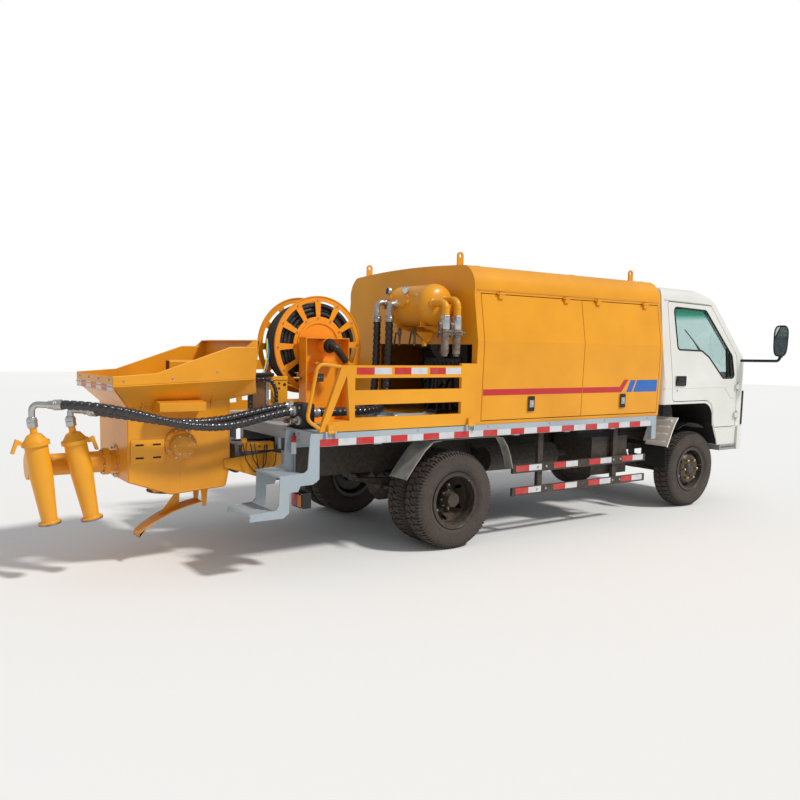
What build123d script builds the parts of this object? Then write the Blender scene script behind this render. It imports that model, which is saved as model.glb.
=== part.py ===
from build123d import *
import os
import math

os.makedirs("parts", exist_ok=True)

# The shotcrete truck in millimetres. X points to the truck's front, Y to its left, Z up, ground at Z = 0.
# Places along the truck are given as distances ahead of the rear axle and turned into X by ax().
REAR_AXLE_X = -576.0
WHEELBASE = 3262.0

# Running gear
TYRE_R = 387.5
TYRE_WIDTH = 200.0
BEAD_R = 206.0
RIM_FLANGE_R = 226.0
REAR_OUTER_Y = 877.0
REAR_INNER_Y = 642.0
FRONT_WHEEL_Y = 735.0
KINGPIN_Y = 620.0
KINGPIN_R = 18.0
HUB_BORE_R = 42.0
RUN_GAP = 0.05
SEAT = 0.3
PIN_R = 6.0
KNUCKLE_R = 11.0

# Chassis rails
RAIL_HALF = 350.0
RAIL_FLANGE = 60.0
RAIL_LOW = 560.0
RAIL_HIGH = 740.0
RAIL_WEB = 8.0

# Deck
DECK_TOP = 980.0
DECK_HALF = 980.0
DECK_REAR = -1250.0
DECK_FRONT = 2440.0
DECK_EDGE = 93.0
DECK_FLOOR = 30.0
BEARER_HIGH = 880.0

# Canopy
CANOPY_REAR = 172.0
CANOPY_FRONT = 2490.0
CANOPY_WALL = 25.0
CANOPY_SIDE = [(956.0, DECK_TOP), (973.0, 1644.0), (912.0, 2020.0)]
CANOPY_SHOULDER = (888.0, 2165.0)
CANOPY_SHOULDER_END = (800.0, 2243.0)
CANOPY_CROWN = 2272.0
CANOPY_DOOR_LOW = 1013.0
CANOPY_DOOR_HIGH = 2017.0
CANOPY_DOOR_REAR = 244.0
CANOPY_DOOR_SPLIT = 1405.0
CANOPY_DOOR_FRONT = 2455.0
DOOR_GAP = 6.0

# Cab
CAB_REAR = 2700.0
CAB_HALF = 850.0
CAB_WALL = 40.0
CAB_SILL = 620.0
CAB_FLOOR = 1068.0
TUNNEL_FRONT = 4040.0
TUNNEL_HALF = 380.0

# Hopper
HOPPER_HALF = RAIL_HALF
LIP_HALF = 497.0
HOPPER_WALL = 12.0
HOPPER_REAR = -2383.0
HOPPER_FRONT = -1550.0
LIP_REAR = -2520.0
LIP_FRONT = -1492.0
LIP_LOW = 1255.0
BODY_HIGH = 1160.0
AGITATOR_X = -2020.0
AGITATOR_Z = 880.0

# Hose reel
REEL_X = -790.0
REEL_Z = 1585.0
REEL_R = 396.0
REEL_NEAR_Y = -150.0
REEL_FAR_Y = 160.0
REEL_SHAFT_R = 30.0

# Compressed-air tank
TANK_X = -20.0
TANK_Z = 1955.0
TANK_R = 165.0
TANK_RIGHT = -890.0
TANK_LEFT = -60.0


def ax(ahead):
    return REAR_AXLE_X + ahead


def block(x, y, z, mode=Mode.ADD):
    centre = ((x[0] + x[1]) / 2, (y[0] + y[1]) / 2, (z[0] + z[1]) / 2)
    with Locations(centre):
        Box(x[1] - x[0], y[1] - y[0], z[1] - z[0], mode=mode)


def side_plane(y):
    return Plane(origin=(0, y, 0), x_dir=(1, 0, 0), z_dir=(0, -1, 0))


def front_plane(x):
    return Plane(origin=(x, 0, 0), x_dir=(0, 1, 0), z_dir=(1, 0, 0))


# A plate whose outline lies in X and Z, from low y to high y
def side_plate(points, y, mode=Mode.ADD):
    with BuildSketch(side_plane(y[1])) as outline:
        with BuildLine():
            Polyline(*points, close=True)
        make_face()
    extrude(outline.sketch, amount=y[1] - y[0], mode=mode)


# A plate whose outline lies in Y and Z, from low x to high x
def front_plate(points, x, mode=Mode.ADD):
    with BuildSketch(front_plane(x[0])) as outline:
        with BuildLine():
            Polyline(*points, close=True)
        make_face()
    extrude(outline.sketch, amount=x[1] - x[0], mode=mode)


def rod(start, end, radius, mode=Mode.ADD):
    a = Vector(*start)
    b = Vector(*end)
    with BuildSketch(Plane(origin=a, z_dir=b - a)) as outline:
        Circle(radius)
    extrude(outline.sketch, amount=(b - a).length, mode=mode)


# A round body turned about the line from start along direction; section pairs are (along, radius)
def turned(start, direction, *sections, mode=Mode.ADD):
    d = Vector(*direction).normalized()
    across = Vector(0, 0, 1) if abs(d.Z) < 0.9 else Vector(0, 1, 0)
    r = (across - d * across.dot(d)).normalized()
    plane = Plane(origin=start, x_dir=d, z_dir=d.cross(r))
    with BuildSketch(plane) as outline:
        for section in sections:
            with BuildLine():
                Polyline(*section, close=True)
            make_face()
    revolve(outline.sketch, axis=Axis(start, d), mode=mode)


# A bent tube: straight runs joined by tangent arcs of the listed radii
def bent_tube(points, radii, radius, bore=0.0, mode=Mode.ADD):
    with BuildLine() as path:
        FilletPolyline(*points, radius=radii)
    with BuildSketch(Plane(origin=path.line @ 0, z_dir=path.line % 0)) as ring:
        Circle(radius)
        if bore > 0:
            Circle(bore, mode=Mode.SUBTRACT)
    sweep(ring.sketch, path=path.line, mode=mode)


def save(part, name):
    part.label = name
    export_step(part, "parts/" + name + ".step")


FRONT_AXLE_X = ax(WHEELBASE)

# Chassis frame
RAIL_REAR = ax(-1330.0)
RAIL_FRONT = ax(TUNNEL_FRONT) - SEAT
RAIL_SECTION = [
    (RAIL_HALF, RAIL_LOW), (RAIL_HALF, RAIL_HIGH), (RAIL_HALF - RAIL_FLANGE, RAIL_HIGH),
    (RAIL_HALF - RAIL_FLANGE, RAIL_HIGH - RAIL_WEB), (RAIL_HALF - RAIL_WEB, RAIL_HIGH - RAIL_WEB),
    (RAIL_HALF - RAIL_WEB, RAIL_LOW + RAIL_WEB), (RAIL_HALF - RAIL_FLANGE, RAIL_LOW + RAIL_WEB),
    (RAIL_HALF - RAIL_FLANGE, RAIL_LOW),
]
SUBFRAME_HIGH = 800.0
with BuildPart() as chassis_frame:
    front_plate(RAIL_SECTION, (RAIL_REAR, RAIL_FRONT))
    front_plate([(-y, z) for y, z in RAIL_SECTION], (RAIL_REAR, RAIL_FRONT))
    # subframe rails on top of the chassis rails
    for side in (-1, 1):
        ys = sorted((side * (RAIL_HALF - RAIL_FLANGE), side * RAIL_HALF))
        block((RAIL_REAR, ax(DECK_FRONT)), ys, (RAIL_HIGH, SUBFRAME_HIGH))
        # the post that carries the cab's rear edge
        block((ax(CAB_REAR) + 15, ax(CAB_REAR) + 75), ys, (RAIL_HIGH, CAB_FLOOR - SEAT))
    # cross members: place ahead of the rear axle, low z, high z
    for place, low, high in ((830.0, 580.0, 660.0), (1500.0, 600.0, 700.0), (2280.0, 600.0, 700.0),
                             (3900.0, 580.0, 660.0), (-560.0, RAIL_LOW, 585.0)):
        inner = RAIL_HALF - RAIL_WEB
        block((ax(place) - 30, ax(place) + 30), (-inner, inner), (low, high))
save(chassis_frame.part, "chassis_frame")

# Leaf springs
SPRING_Y = RAIL_HALF - RAIL_FLANGE / 2 + 40
SPRING_WIDTH = 65.0
REAR_AXLE_R = 62.0
FRONT_BEAM_TOP = 400.0
SPRINGS = (
    # centre x, half length, pad height, eye height
    (ax(0), 590.0, TYRE_R + REAR_AXLE_R, 530.0),
    (FRONT_AXLE_X, 540.0, FRONT_BEAM_TOP, 520.0),
)
with BuildPart() as leaf_springs:
    for centre, half, pad, eye in SPRINGS:
        for side in (-1, 1):
            y = (side * SPRING_Y - SPRING_WIDTH / 2, side * SPRING_Y + SPRING_WIDTH / 2)
            with BuildSketch(side_plane(y[1])) as leaf:
                with BuildLine():
                    low = ThreePointArc((centre - half, eye - 14), (centre, pad), (centre + half, eye - 14))
                    l1 = Line(low @ 1, (centre + half, eye))
                    ThreePointArc(l1 @ 1, (centre, pad + 46), (centre - half, eye))
                    Line((centre - half, eye), low @ 0)
                make_face()
            extrude(leaf.sketch, amount=SPRING_WIDTH)
            for end in (-1, 1):
                x = centre + end * half
                rod((x, y[0], eye), (x, y[1], eye), 24)
                block((x - 20, x + 20), (y[0] + 5, y[1] - 5), (eye, RAIL_LOW))
            block((centre - 60, centre + 60), y, (pad, pad + 60))
save(leaf_springs.part, "leaf_springs")

# Rear axle with the propeller shaft
with BuildPart() as rear_axle:
    z = TYRE_R
    rod((ax(0), -REAR_INNER_Y + 118, z), (ax(0), REAR_INNER_Y - 118, z), REAR_AXLE_R)
    turned((ax(0) - 150, 0, z), (1, 0, 0), [(0, 0), (0, 90), (60, 150), (190, 150), (270, 80), (270, 0)])
    rod((ax(0) + 110, 0, z + 10), (ax(0) + 190, 0, z + 22), 62)
    rod((ax(0) + 180, 0, z + 20), (ax(2044), 0, 557), 36)
    for side in (-1, 1):
        rod((ax(0), side * (REAR_INNER_Y - 120), z), (ax(0), side * (REAR_OUTER_Y + 40), z), HUB_BORE_R)
save(rear_axle.part, "rear_axle")

# Front axle and steering knuckles
KINGPIN_LOW = 300.0
KINGPIN_HIGH = 475.0
with BuildPart() as front_axle:
    with BuildSketch(front_plane(FRONT_AXLE_X - 40)) as beam:
        with BuildLine():
            Polyline((-KINGPIN_Y + 45, 340), (-KINGPIN_Y + 100, 320), (KINGPIN_Y - 100, 320),
                     (KINGPIN_Y - 45, 340), (KINGPIN_Y - 45, 430), (KINGPIN_Y - 100, 430),
                     (KINGPIN_Y - 160, FRONT_BEAM_TOP), (-KINGPIN_Y + 160, FRONT_BEAM_TOP),
                     (-KINGPIN_Y + 100, 430), (-KINGPIN_Y + 45, 430), close=True)
        make_face()
    extrude(beam.sketch, amount=80)
    for side in (-1, 1):
        y = side * KINGPIN_Y
        rod((FRONT_AXLE_X, y, 345), (FRONT_AXLE_X, y, 425), 37)
        block((FRONT_AXLE_X - 30, FRONT_AXLE_X + 30), sorted((y, y - side * 60)), (345, 425))
        rod((FRONT_AXLE_X, y, KINGPIN_LOW), (FRONT_AXLE_X, y, KINGPIN_HIGH), KINGPIN_R)
save(front_axle.part, "front_axle")

SPINDLE_END = 800.0
for name, side in (("knuckle_left", 1), ("knuckle_right", -1)):
    y = side * KINGPIN_Y
    with BuildPart() as knuckle:
        rod((FRONT_AXLE_X, y, KINGPIN_LOW + 5), (FRONT_AXLE_X, y, 344.5), 40)
        rod((FRONT_AXLE_X, y, 425.5), (FRONT_AXLE_X, y, KINGPIN_HIGH - 5), 40)
        block((FRONT_AXLE_X - 32, FRONT_AXLE_X + 32), sorted((y + side * 10, y + side * 62)), (KINGPIN_LOW + 5, 344.5))
        block((FRONT_AXLE_X - 32, FRONT_AXLE_X + 32), sorted((y + side * 10, y + side * 62)), (425.5, KINGPIN_HIGH - 5))
        block((FRONT_AXLE_X - 45, FRONT_AXLE_X + 45), sorted((y + side * 44, y + side * 70)),
              (KINGPIN_LOW + 5, KINGPIN_HIGH - 5))
        rod((FRONT_AXLE_X, y + side * 60, TYRE_R), (FRONT_AXLE_X, side * SPINDLE_END, TYRE_R), HUB_BORE_R - 8)
        # steering arm reaching back
        side_plate([(FRONT_AXLE_X - 190, 312), (FRONT_AXLE_X - 190, 332), (FRONT_AXLE_X, 340),
                    (FRONT_AXLE_X, 308)], sorted((y - side * 20, y + side * 20)))
        rod((FRONT_AXLE_X, y, KINGPIN_LOW - 20), (FRONT_AXLE_X, y, KINGPIN_HIGH + 20), KINGPIN_R + RUN_GAP,
            mode=Mode.SUBTRACT)
    save(knuckle.part, name)

# Wheels: tyre and rim sections are (distance outward from the wheel's middle, radius)
HALF_TYRE = TYRE_WIDTH / 2
BEAD = BEAD_R + SEAT
TYRE_SECTION = [
    (-75, BEAD), (-78, 229), (-HALF_TYRE + 4, 252), (-HALF_TYRE, 300), (-HALF_TYRE + 7, 348), (-HALF_TYRE + 16, TYRE_R - 14),
    (-HALF_TYRE + 36, TYRE_R), (HALF_TYRE - 36, TYRE_R), (HALF_TYRE - 16, TYRE_R - 14), (HALF_TYRE - 7, 348),
    (HALF_TYRE, 300), (HALF_TYRE - 4, 252), (78, 229), (75, BEAD),
]
BARREL_SECTION = [
    (-90, RIM_FLANGE_R), (-83, RIM_FLANGE_R), (-79, BEAD_R), (79, BEAD_R), (83, RIM_FLANGE_R), (90, RIM_FLANGE_R),
    (87, 196), (40, 186), (-40, 186), (-87, 196),
]
FRONT_NUTS = 6
REAR_NUTS = 6
WINDOWS = 6
for word, side in (("left", 1), ("right", -1)):
    out = (0, side, 0)
    middle = (FRONT_AXLE_X, side * FRONT_WHEEL_Y, TYRE_R)
    with BuildPart() as tyre:
        turned(middle, out, TYRE_SECTION)
    save(tyre.part, "front_tyre_" + word)
    bore = HUB_BORE_R - 8 + RUN_GAP
    cap_in = SPINDLE_END - FRONT_WHEEL_Y + 7
    with BuildPart() as rim:
        turned(middle, out, BARREL_SECTION)
        turned(middle, out, [(2, 190), (14, 190), (70, 138), (70, 60), (60, 60), (60, 130)])
        turned(middle, out, [(-38, bore), (-38, 62), (cap_in + 8, 62), (cap_in + 20, 44), (cap_in + 20, 0),
                             (cap_in, 0), (cap_in, bore)])
        for n in range(WINDOWS):
            a = 2 * math.pi * (n + 0.5) / WINDOWS
            x = FRONT_AXLE_X + 158 * math.cos(a)
            z = TYRE_R + 158 * math.sin(a)
            rod((x, side * (FRONT_WHEEL_Y - 20), z), (x, side * (FRONT_WHEEL_Y + 90), z), 17, mode=Mode.SUBTRACT)
        for n in range(FRONT_NUTS):
            a = 2 * math.pi * n / FRONT_NUTS
            x = FRONT_AXLE_X + 102 * math.cos(a)
            z = TYRE_R + 102 * math.sin(a)
            rod((x, side * (FRONT_WHEEL_Y + 68), z), (x, side * (FRONT_WHEEL_Y + 94), z), 15)
    save(rim.part, "front_rim_" + word)

    middle_out = (ax(0), side * REAR_OUTER_Y, TYRE_R)
    middle_in = (ax(0), side * REAR_INNER_Y, TYRE_R)
    with BuildPart() as tyres:
        turned(middle_out, out, TYRE_SECTION)
        turned(middle_in, out, TYRE_SECTION)
    save(tyres.part, "rear_tyres_" + word)
    centre = (ax(0), 0, TYRE_R)
    disc = (REAR_OUTER_Y + REAR_INNER_Y) / 2
    barrels = [[(y + a, r) for a, r in BARREL_SECTION] for y in (REAR_OUTER_Y, REAR_INNER_Y)]
    disc_out = [(REAR_OUTER_Y - 2, 190), (REAR_OUTER_Y - 14, 190), (disc + 8, 138), (disc + 1, 70), (disc + 11, 70),
                (disc + 18, 132)]
    disc_in = [(REAR_INNER_Y + 2, 190), (REAR_INNER_Y + 14, 190), (disc, 138), (disc, 70), (disc - 10, 70),
               (disc - 10, 132)]
    hub = [(536, HUB_BORE_R + RUN_GAP), (536, 78), (600, 78), (600, 165), (680, 165), (680, 95), (disc + 20, 95),
           (disc + 30, 80), (REAR_OUTER_Y - 10, 72), (REAR_OUTER_Y + 60, 55), (REAR_OUTER_Y + 60, 0),
           (REAR_OUTER_Y + 47, 0), (REAR_OUTER_Y + 47, HUB_BORE_R + RUN_GAP)]
    with BuildPart() as rims:
        turned(centre, out, *barrels, disc_out, disc_in)
        for n in range(WINDOWS):
            a = 2 * math.pi * (n + 0.5) / WINDOWS
            x = ax(0) + 160 * math.cos(a)
            z = TYRE_R + 160 * math.sin(a)
            rod((x, side * (REAR_INNER_Y - 20), z), (x, side * (REAR_OUTER_Y + 10), z), 17, mode=Mode.SUBTRACT)
        turned(centre, out, hub)
        for n in range(REAR_NUTS):
            a = 2 * math.pi * n / REAR_NUTS
            x = ax(0) + 115 * math.cos(a)
            z = TYRE_R + 115 * math.sin(a)
            rod((x, side * (disc - 5), z), (x, side * (disc + 42), z), 17)
    save(rims.part, "rear_rims_" + word)

# Deck with its edge beams and bearers
RAIL_PIN_Y = DECK_HALF + 14
RAIL_PIN_Z = DECK_TOP + 4
RAIL_HINGES = (-1170.0, 100.0)
EDGE_LOW = DECK_TOP - DECK_EDGE
with BuildPart() as deck:
    block((ax(DECK_REAR), ax(DECK_FRONT)), (-DECK_HALF, DECK_HALF), (DECK_TOP - DECK_FLOOR, DECK_TOP))
    for side in (-1, 1):
        ys = sorted((side * (DECK_HALF - 45), side * DECK_HALF))
        block((ax(DECK_REAR), ax(DECK_FRONT)), ys, (EDGE_LOW, DECK_TOP))
        ys = sorted((side * (RAIL_HALF - RAIL_FLANGE), side * RAIL_HALF))
        block((ax(DECK_REAR), ax(DECK_FRONT)), ys, (SUBFRAME_HIGH, DECK_TOP - DECK_FLOOR))
        # the foot that hangs from the deck's front corner
        ys = sorted((side * (DECK_HALF - 40), side * DECK_HALF))
        block((ax(DECK_FRONT) - 65, ax(DECK_FRONT)), ys, (760, DECK_TOP))
    for end in (DECK_REAR, DECK_FRONT - 60):
        block((ax(end), ax(end) + 60), (-DECK_HALF, DECK_HALF), (EDGE_LOW, DECK_TOP))
    for place in (-760.0, 620.0, 1220.0, 1820.0):
        block((ax(place) - 30, ax(place) + 30), (-DECK_HALF, DECK_HALF), (BEARER_HIGH, DECK_TOP))
    # pins and ears of the folding side rails
    for side in (-1, 1):
        for place in RAIL_HINGES:
            x = ax(place)
            rod((x - 45, side * RAIL_PIN_Y, RAIL_PIN_Z), (x + 45, side * RAIL_PIN_Y, RAIL_PIN_Z), PIN_R)
            for end in (-38, 38):
                block((x + end - 7, x + end + 7), sorted((side * (DECK_HALF - 5), side * (RAIL_PIN_Y + 8))),
                      (RAIL_PIN_Z - 40, DECK_TOP))
                rod((x + end - 7, side * RAIL_PIN_Y, RAIL_PIN_Z), (x + end + 7, side * RAIL_PIN_Y, RAIL_PIN_Z), 8)
save(deck.part, "deck")

# Rear mudguards over the twin wheels: flat plates, bent down at both ends
MUD_IN = 545.0
MUD_OUT = 970.0
MUD_T = 4.0
with BuildPart() as rear_mudguards:
    for side in (-1, 1):
        y = sorted((side * MUD_IN, side * MUD_OUT))
        for place in (-520.0, 480.0):
            block((ax(place) - 2, ax(place) + 2), y, (560, BEARER_HIGH))
        block((ax(-520), ax(480)), y, (BEARER_HIGH - 30, BEARER_HIGH - 30 + MUD_T))
        ys = sorted((side * 560, side * 925))
        for place in (-490.0, 450.0):
            block((ax(place) - 12, ax(place) + 12), ys, (BEARER_HIGH - 27, DECK_TOP - DECK_FLOOR))

# Canopy over the engine and pump: a crowned shell on the deck, open at the rear, with two doors a side
CANOPY_FOOT = CANOPY_SIDE[0]
CANOPY_CREASE = CANOPY_SIDE[1]
CANOPY_SEAM = CANOPY_SIDE[2]


# The canopy's section, drawn further in by inset at each named point
def canopy_section(place, inset):
    foot = (CANOPY_FOOT[0] - inset, CANOPY_FOOT[1] + inset)
    crease = (CANOPY_CREASE[0] - inset, CANOPY_CREASE[1])
    seam = (CANOPY_SEAM[0] - inset, CANOPY_SEAM[1])
    shoulder = (CANOPY_SHOULDER[0] - 0.8 * inset, CANOPY_SHOULDER[1] - 0.6 * inset)
    shoulder_end = (CANOPY_SHOULDER_END[0] - 0.4 * inset, CANOPY_SHOULDER_END[1] - 0.9 * inset)
    crown = (0.0, CANOPY_CROWN - inset)
    with BuildSketch(front_plane(ax(place))) as section:
        with BuildLine():
            Polyline(foot, crease, seam)
            ThreePointArc(seam, shoulder, shoulder_end)
            ThreePointArc(shoulder_end, crown, (-shoulder_end[0], shoulder_end[1]))
            ThreePointArc((-shoulder_end[0], shoulder_end[1]), (-shoulder[0], shoulder[1]), (-seam[0], seam[1]))
            Polyline((-seam[0], seam[1]), (-crease[0], crease[1]), (-foot[0], foot[1]))
            Line((-foot[0], foot[1]), foot)
        make_face()
    return section.sketch


def side_y_at(z):
    (y0, z0), (y1, z1), (y2, z2) = CANOPY_SIDE
    if z < z1:
        return y0 + (y1 - y0) * (z - z0) / (z1 - z0)
    return y1 + (y2 - y1) * (z - z1) / (z2 - z1)


HINGE_Y = CANOPY_SEAM[0] + 16
HINGE_Z = CANOPY_SEAM[1] + 4
CANOPY_DOORS = (
    # name, side, rear edge, front edge
    ("canopy_door_right_rear", -1, CANOPY_DOOR_REAR, CANOPY_DOOR_SPLIT - DOOR_GAP / 2),
    ("canopy_door_right_front", -1, CANOPY_DOOR_SPLIT + DOOR_GAP / 2, CANOPY_DOOR_FRONT),
    ("canopy_door_left_rear", 1, CANOPY_DOOR_REAR, CANOPY_DOOR_SPLIT - DOOR_GAP / 2),
    ("canopy_door_left_front", 1, CANOPY_DOOR_SPLIT + DOOR_GAP / 2, CANOPY_DOOR_FRONT),
)
HINGE_SETBACK = 200.0
OPENING_RIGHT = -905.0
OPENING_LEFT = 400.0
OPENING_TOP = 1615.0
with BuildPart() as canopy_shell:
    extrude(canopy_section(CANOPY_REAR, 0), amount=CANOPY_FRONT - CANOPY_REAR)
    extrude(canopy_section(CANOPY_REAR + CANOPY_WALL, CANOPY_WALL),
            amount=CANOPY_FRONT - CANOPY_REAR - 2 * CANOPY_WALL, mode=Mode.SUBTRACT)
    block((ax(CANOPY_REAR) - 5, ax(CANOPY_REAR) + CANOPY_WALL + 5), (OPENING_RIGHT, OPENING_LEFT),
          (DECK_TOP + CANOPY_WALL, OPENING_TOP), mode=Mode.SUBTRACT)
    for side in (-1, 1):
        block((ax(CANOPY_DOOR_REAR) - DOOR_GAP, ax(CANOPY_DOOR_FRONT) + DOOR_GAP), sorted((side * 840, side * 1000)),
              (CANOPY_DOOR_LOW - DOOR_GAP, CANOPY_DOOR_HIGH + DOOR_GAP), mode=Mode.SUBTRACT)
        # the post behind the split between the doors
        post = [(y - CANOPY_WALL - 6, z) for y, z in CANOPY_SIDE] + [(y - 70, z) for y, z in CANOPY_SIDE[::-1]]
        front_plate([(side * y, z + 15) for y, z in post], (ax(CANOPY_DOOR_SPLIT) - 25, ax(CANOPY_DOOR_SPLIT) + 25))
    for name, side, rear, front in CANOPY_DOORS:
        for place in (rear + HINGE_SETBACK, front - HINGE_SETBACK):
            rod((ax(place) - 45, side * HINGE_Y, HINGE_Z), (ax(place) + 45, side * HINGE_Y, HINGE_Z), PIN_R)
            for end in (-38, 38):
                block((ax(place) + end - 7, ax(place) + end + 7), sorted((side * (HINGE_Y - 30), side * (HINGE_Y + 3))),
                      (CANOPY_DOOR_HIGH + DOOR_GAP, HINGE_Z + 4))
save(canopy_shell.part, "canopy_shell")

LATCH_Z = 1135.0
LATCH_SETBACK = 540.0
for name, side, rear, front in CANOPY_DOORS:
    skin = [(side_y_at(CANOPY_DOOR_LOW), CANOPY_DOOR_LOW), CANOPY_CREASE,
            (side_y_at(CANOPY_DOOR_HIGH), CANOPY_DOOR_HIGH)]
    outline = skin + [(y - CANOPY_WALL, z) for y, z in skin[::-1]]
    with BuildPart() as door:
        front_plate([(side * y, z) for y, z in outline], (ax(rear), ax(front)))
        for place in (rear + HINGE_SETBACK, front - HINGE_SETBACK):
            block((ax(place) - 25, ax(place) + 25), sorted((side * (HINGE_Y - 22), side * (HINGE_Y + 6))),
                  (HINGE_Z - 39, CANOPY_DOOR_HIGH - 1))
            rod((ax(place) - 25, side * HINGE_Y, HINGE_Z), (ax(place) + 25, side * HINGE_Y, HINGE_Z), KNUCKLE_R)
            rod((ax(place) - 26, side * HINGE_Y, HINGE_Z), (ax(place) + 26, side * HINGE_Y, HINGE_Z), PIN_R + RUN_GAP,
                mode=Mode.SUBTRACT)
        latch = ax(rear + LATCH_SETBACK)
        y = side_y_at(LATCH_Z)
        block((latch - 35, latch + 35), sorted((side * (y - 5), side * (y + 10))), (LATCH_Z - 60, LATCH_Z + 60))
    save(door.part, name)

# Lifting eyes on the canopy roof
EYE_Y = 666.0
EYE_T = 12.0
EYE_TOP = 2361.0
EYE_R = 31.0
EYE_HOLE_R = 15.0
EYE_PLACES = (224.0, 2354.0)
EYE_BASE = 2240.0
with BuildPart() as lifting_eyes:
    for place in EYE_PLACES:
        for side in (-1, 1):
            y = sorted((side * EYE_Y - EYE_T / 2, side * EYE_Y + EYE_T / 2))
            z = EYE_TOP - EYE_R
            x = ax(place)
            side_plate([(x - EYE_R, EYE_BASE), (x + EYE_R, EYE_BASE), (x + EYE_R, z), (x - EYE_R, z)], y)
            rod((x, y[0], z), (x, y[1], z), EYE_R)
            rod((x, y[0] - 1, z), (x, y[1] + 1, z), EYE_HOLE_R, mode=Mode.SUBTRACT)
    extrude(canopy_section(CANOPY_REAR, 0), amount=CANOPY_FRONT - CANOPY_REAR, mode=Mode.SUBTRACT)
save(lifting_eyes.part, "lifting_eyes")

# Power pack under the canopy, one plain block on two bearers
with BuildPart() as power_pack:
    block((ax(620), ax(1850)), (-330, 330), (1060, 1800))
    for place in (720.0, 1700.0):
        block((ax(place), ax(place) + 80), (-400, 400), (DECK_TOP + CANOPY_WALL, 1060))
save(power_pack.part, "power_pack")

# Cab: one side profile, one front outline and one plan, crossed to a body, and again further in
CAB_PROFILE = (
    # ahead, height, corner radius
    (CAB_REAR, CAB_FLOOR, 10.0), (CAB_REAR, 2220.0, 70.0), (3300.0, 2215.0, 400.0), (3575.0, 2110.0, 250.0),
    (4105.0, 1510.0, 250.0), (4165.0, 1290.0, 200.0), (4170.0, CAB_SILL, 20.0), (3660.0, CAB_SILL, 10.0),
    (3550.0, 840.0, 40.0), (3515.0, CAB_FLOOR, 150.0),
)
CAB_FRONT = 4170.0
CAB_FRONT_OUTLINE = ((CAB_HALF, 500.0), (CAB_HALF, 1290.0), (762.0, 2228.0))


def rounded(points, plane, grow=0.0):
    with BuildSketch(plane) as shape:
        with BuildLine():
            Polyline(*[(p[0], p[1]) for p in points], close=True)
        make_face()
        for px, pz, radius in points:
            corner = shape.vertices().sort_by_distance((px, pz, 0))[0]
            fillet(corner, radius)
        if grow != 0:
            offset(amount=grow)
    return shape.sketch


def cab_body(inset):
    side = side_plane(CAB_HALF + 10)
    profile = rounded([(ax(a), z, r) for a, z, r in CAB_PROFILE], side, -inset)
    with BuildSketch(front_plane(ax(CAB_REAR) - 10)) as front:
        with BuildLine():
            pts = list(CAB_FRONT_OUTLINE) + [(-y, z) for y, z in CAB_FRONT_OUTLINE[::-1]]
            Polyline(*pts, close=True)
        make_face()
        fillet(front.vertices().group_by(Axis.Y)[-1], 110)
        fillet(front.vertices().filter_by(lambda v: abs(v.Y - CAB_FRONT_OUTLINE[1][1]) < 1), 200)
        if inset > 0:
            offset(amount=-inset)
    with BuildSketch(Plane.XY.offset(CAB_SILL - 40)) as plan:
        with Locations(((ax(CAB_REAR) + ax(CAB_FRONT)) / 2, 0)):
            Rectangle(CAB_FRONT - CAB_REAR, 2 * CAB_HALF)
        fillet(plan.vertices().group_by(Axis.X)[-1], 150)
        fillet(plan.vertices().group_by(Axis.X)[0], 50)
        if inset > 0:
            offset(amount=-inset)
    with BuildPart() as body:
        extrude(profile, amount=2 * CAB_HALF + 20)
        extrude(front.sketch, amount=CAB_FRONT - CAB_REAR + 20, mode=Mode.INTERSECT)
        extrude(plan.sketch, amount=1700, mode=Mode.INTERSECT)
        block((ax(3400), ax(TUNNEL_FRONT) + inset), (-TUNNEL_HALF - inset, TUNNEL_HALF + inset),
              (500, CAB_FLOOR + inset), mode=Mode.SUBTRACT)
    return body.part


CAB_DOOR = (
    # ahead, height, corner radius
    (2858.0, 1098.0, 40.0), (2802.0, 2080.0, 25.0), (3520.0, 2065.0, 60.0), (3960.0, 1560.0, 60.0),
    (3960.0, 812.0, 8.0), (3572.0, 812.0, 8.0), (3545.0, 1098.0, 150.0),
)
CAB_WINDOW = (
    (2945.0, 1612.0, 35.0), (2897.0, 2030.0, 30.0), (3430.0, 2015.0, 50.0), (3875.0, 1555.0, 40.0),
    (3905.0, 1325.0, 18.0), (3700.0, 1325.0, 18.0), (3465.0, 1540.0, 60.0), (3340.0, 1605.0, 60.0),
)
WINDSCREEN = ((-735.0, 2065.0, 60.0), (735.0, 2065.0, 60.0), (775.0, 1370.0, 80.0), (-775.0, 1370.0, 80.0))
CAB_GAP = 7.0
CAB_HINGE_X = 3967.0
CAB_HINGE_Y = CAB_HALF + 16
CAB_HINGES = (930.0, 1230.0)


def placed(points):
    return [(ax(a), z, r) for a, z, r in points]


# A doorway's shape through the cab's side wall; it stops at the depth given, short of the floor and arch inside
def doorway(side, grow, depth):
    with BuildPart() as cutter:
        extrude(rounded(placed(CAB_DOOR), side_plane(side * 800 + 120), grow), amount=240)
        block((ax(CAB_REAR), ax(CAB_FRONT)), sorted((side * 600, side * (CAB_HALF - depth))), (CAB_SILL, 1290),
              mode=Mode.SUBTRACT)
    return cutter.part


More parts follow.
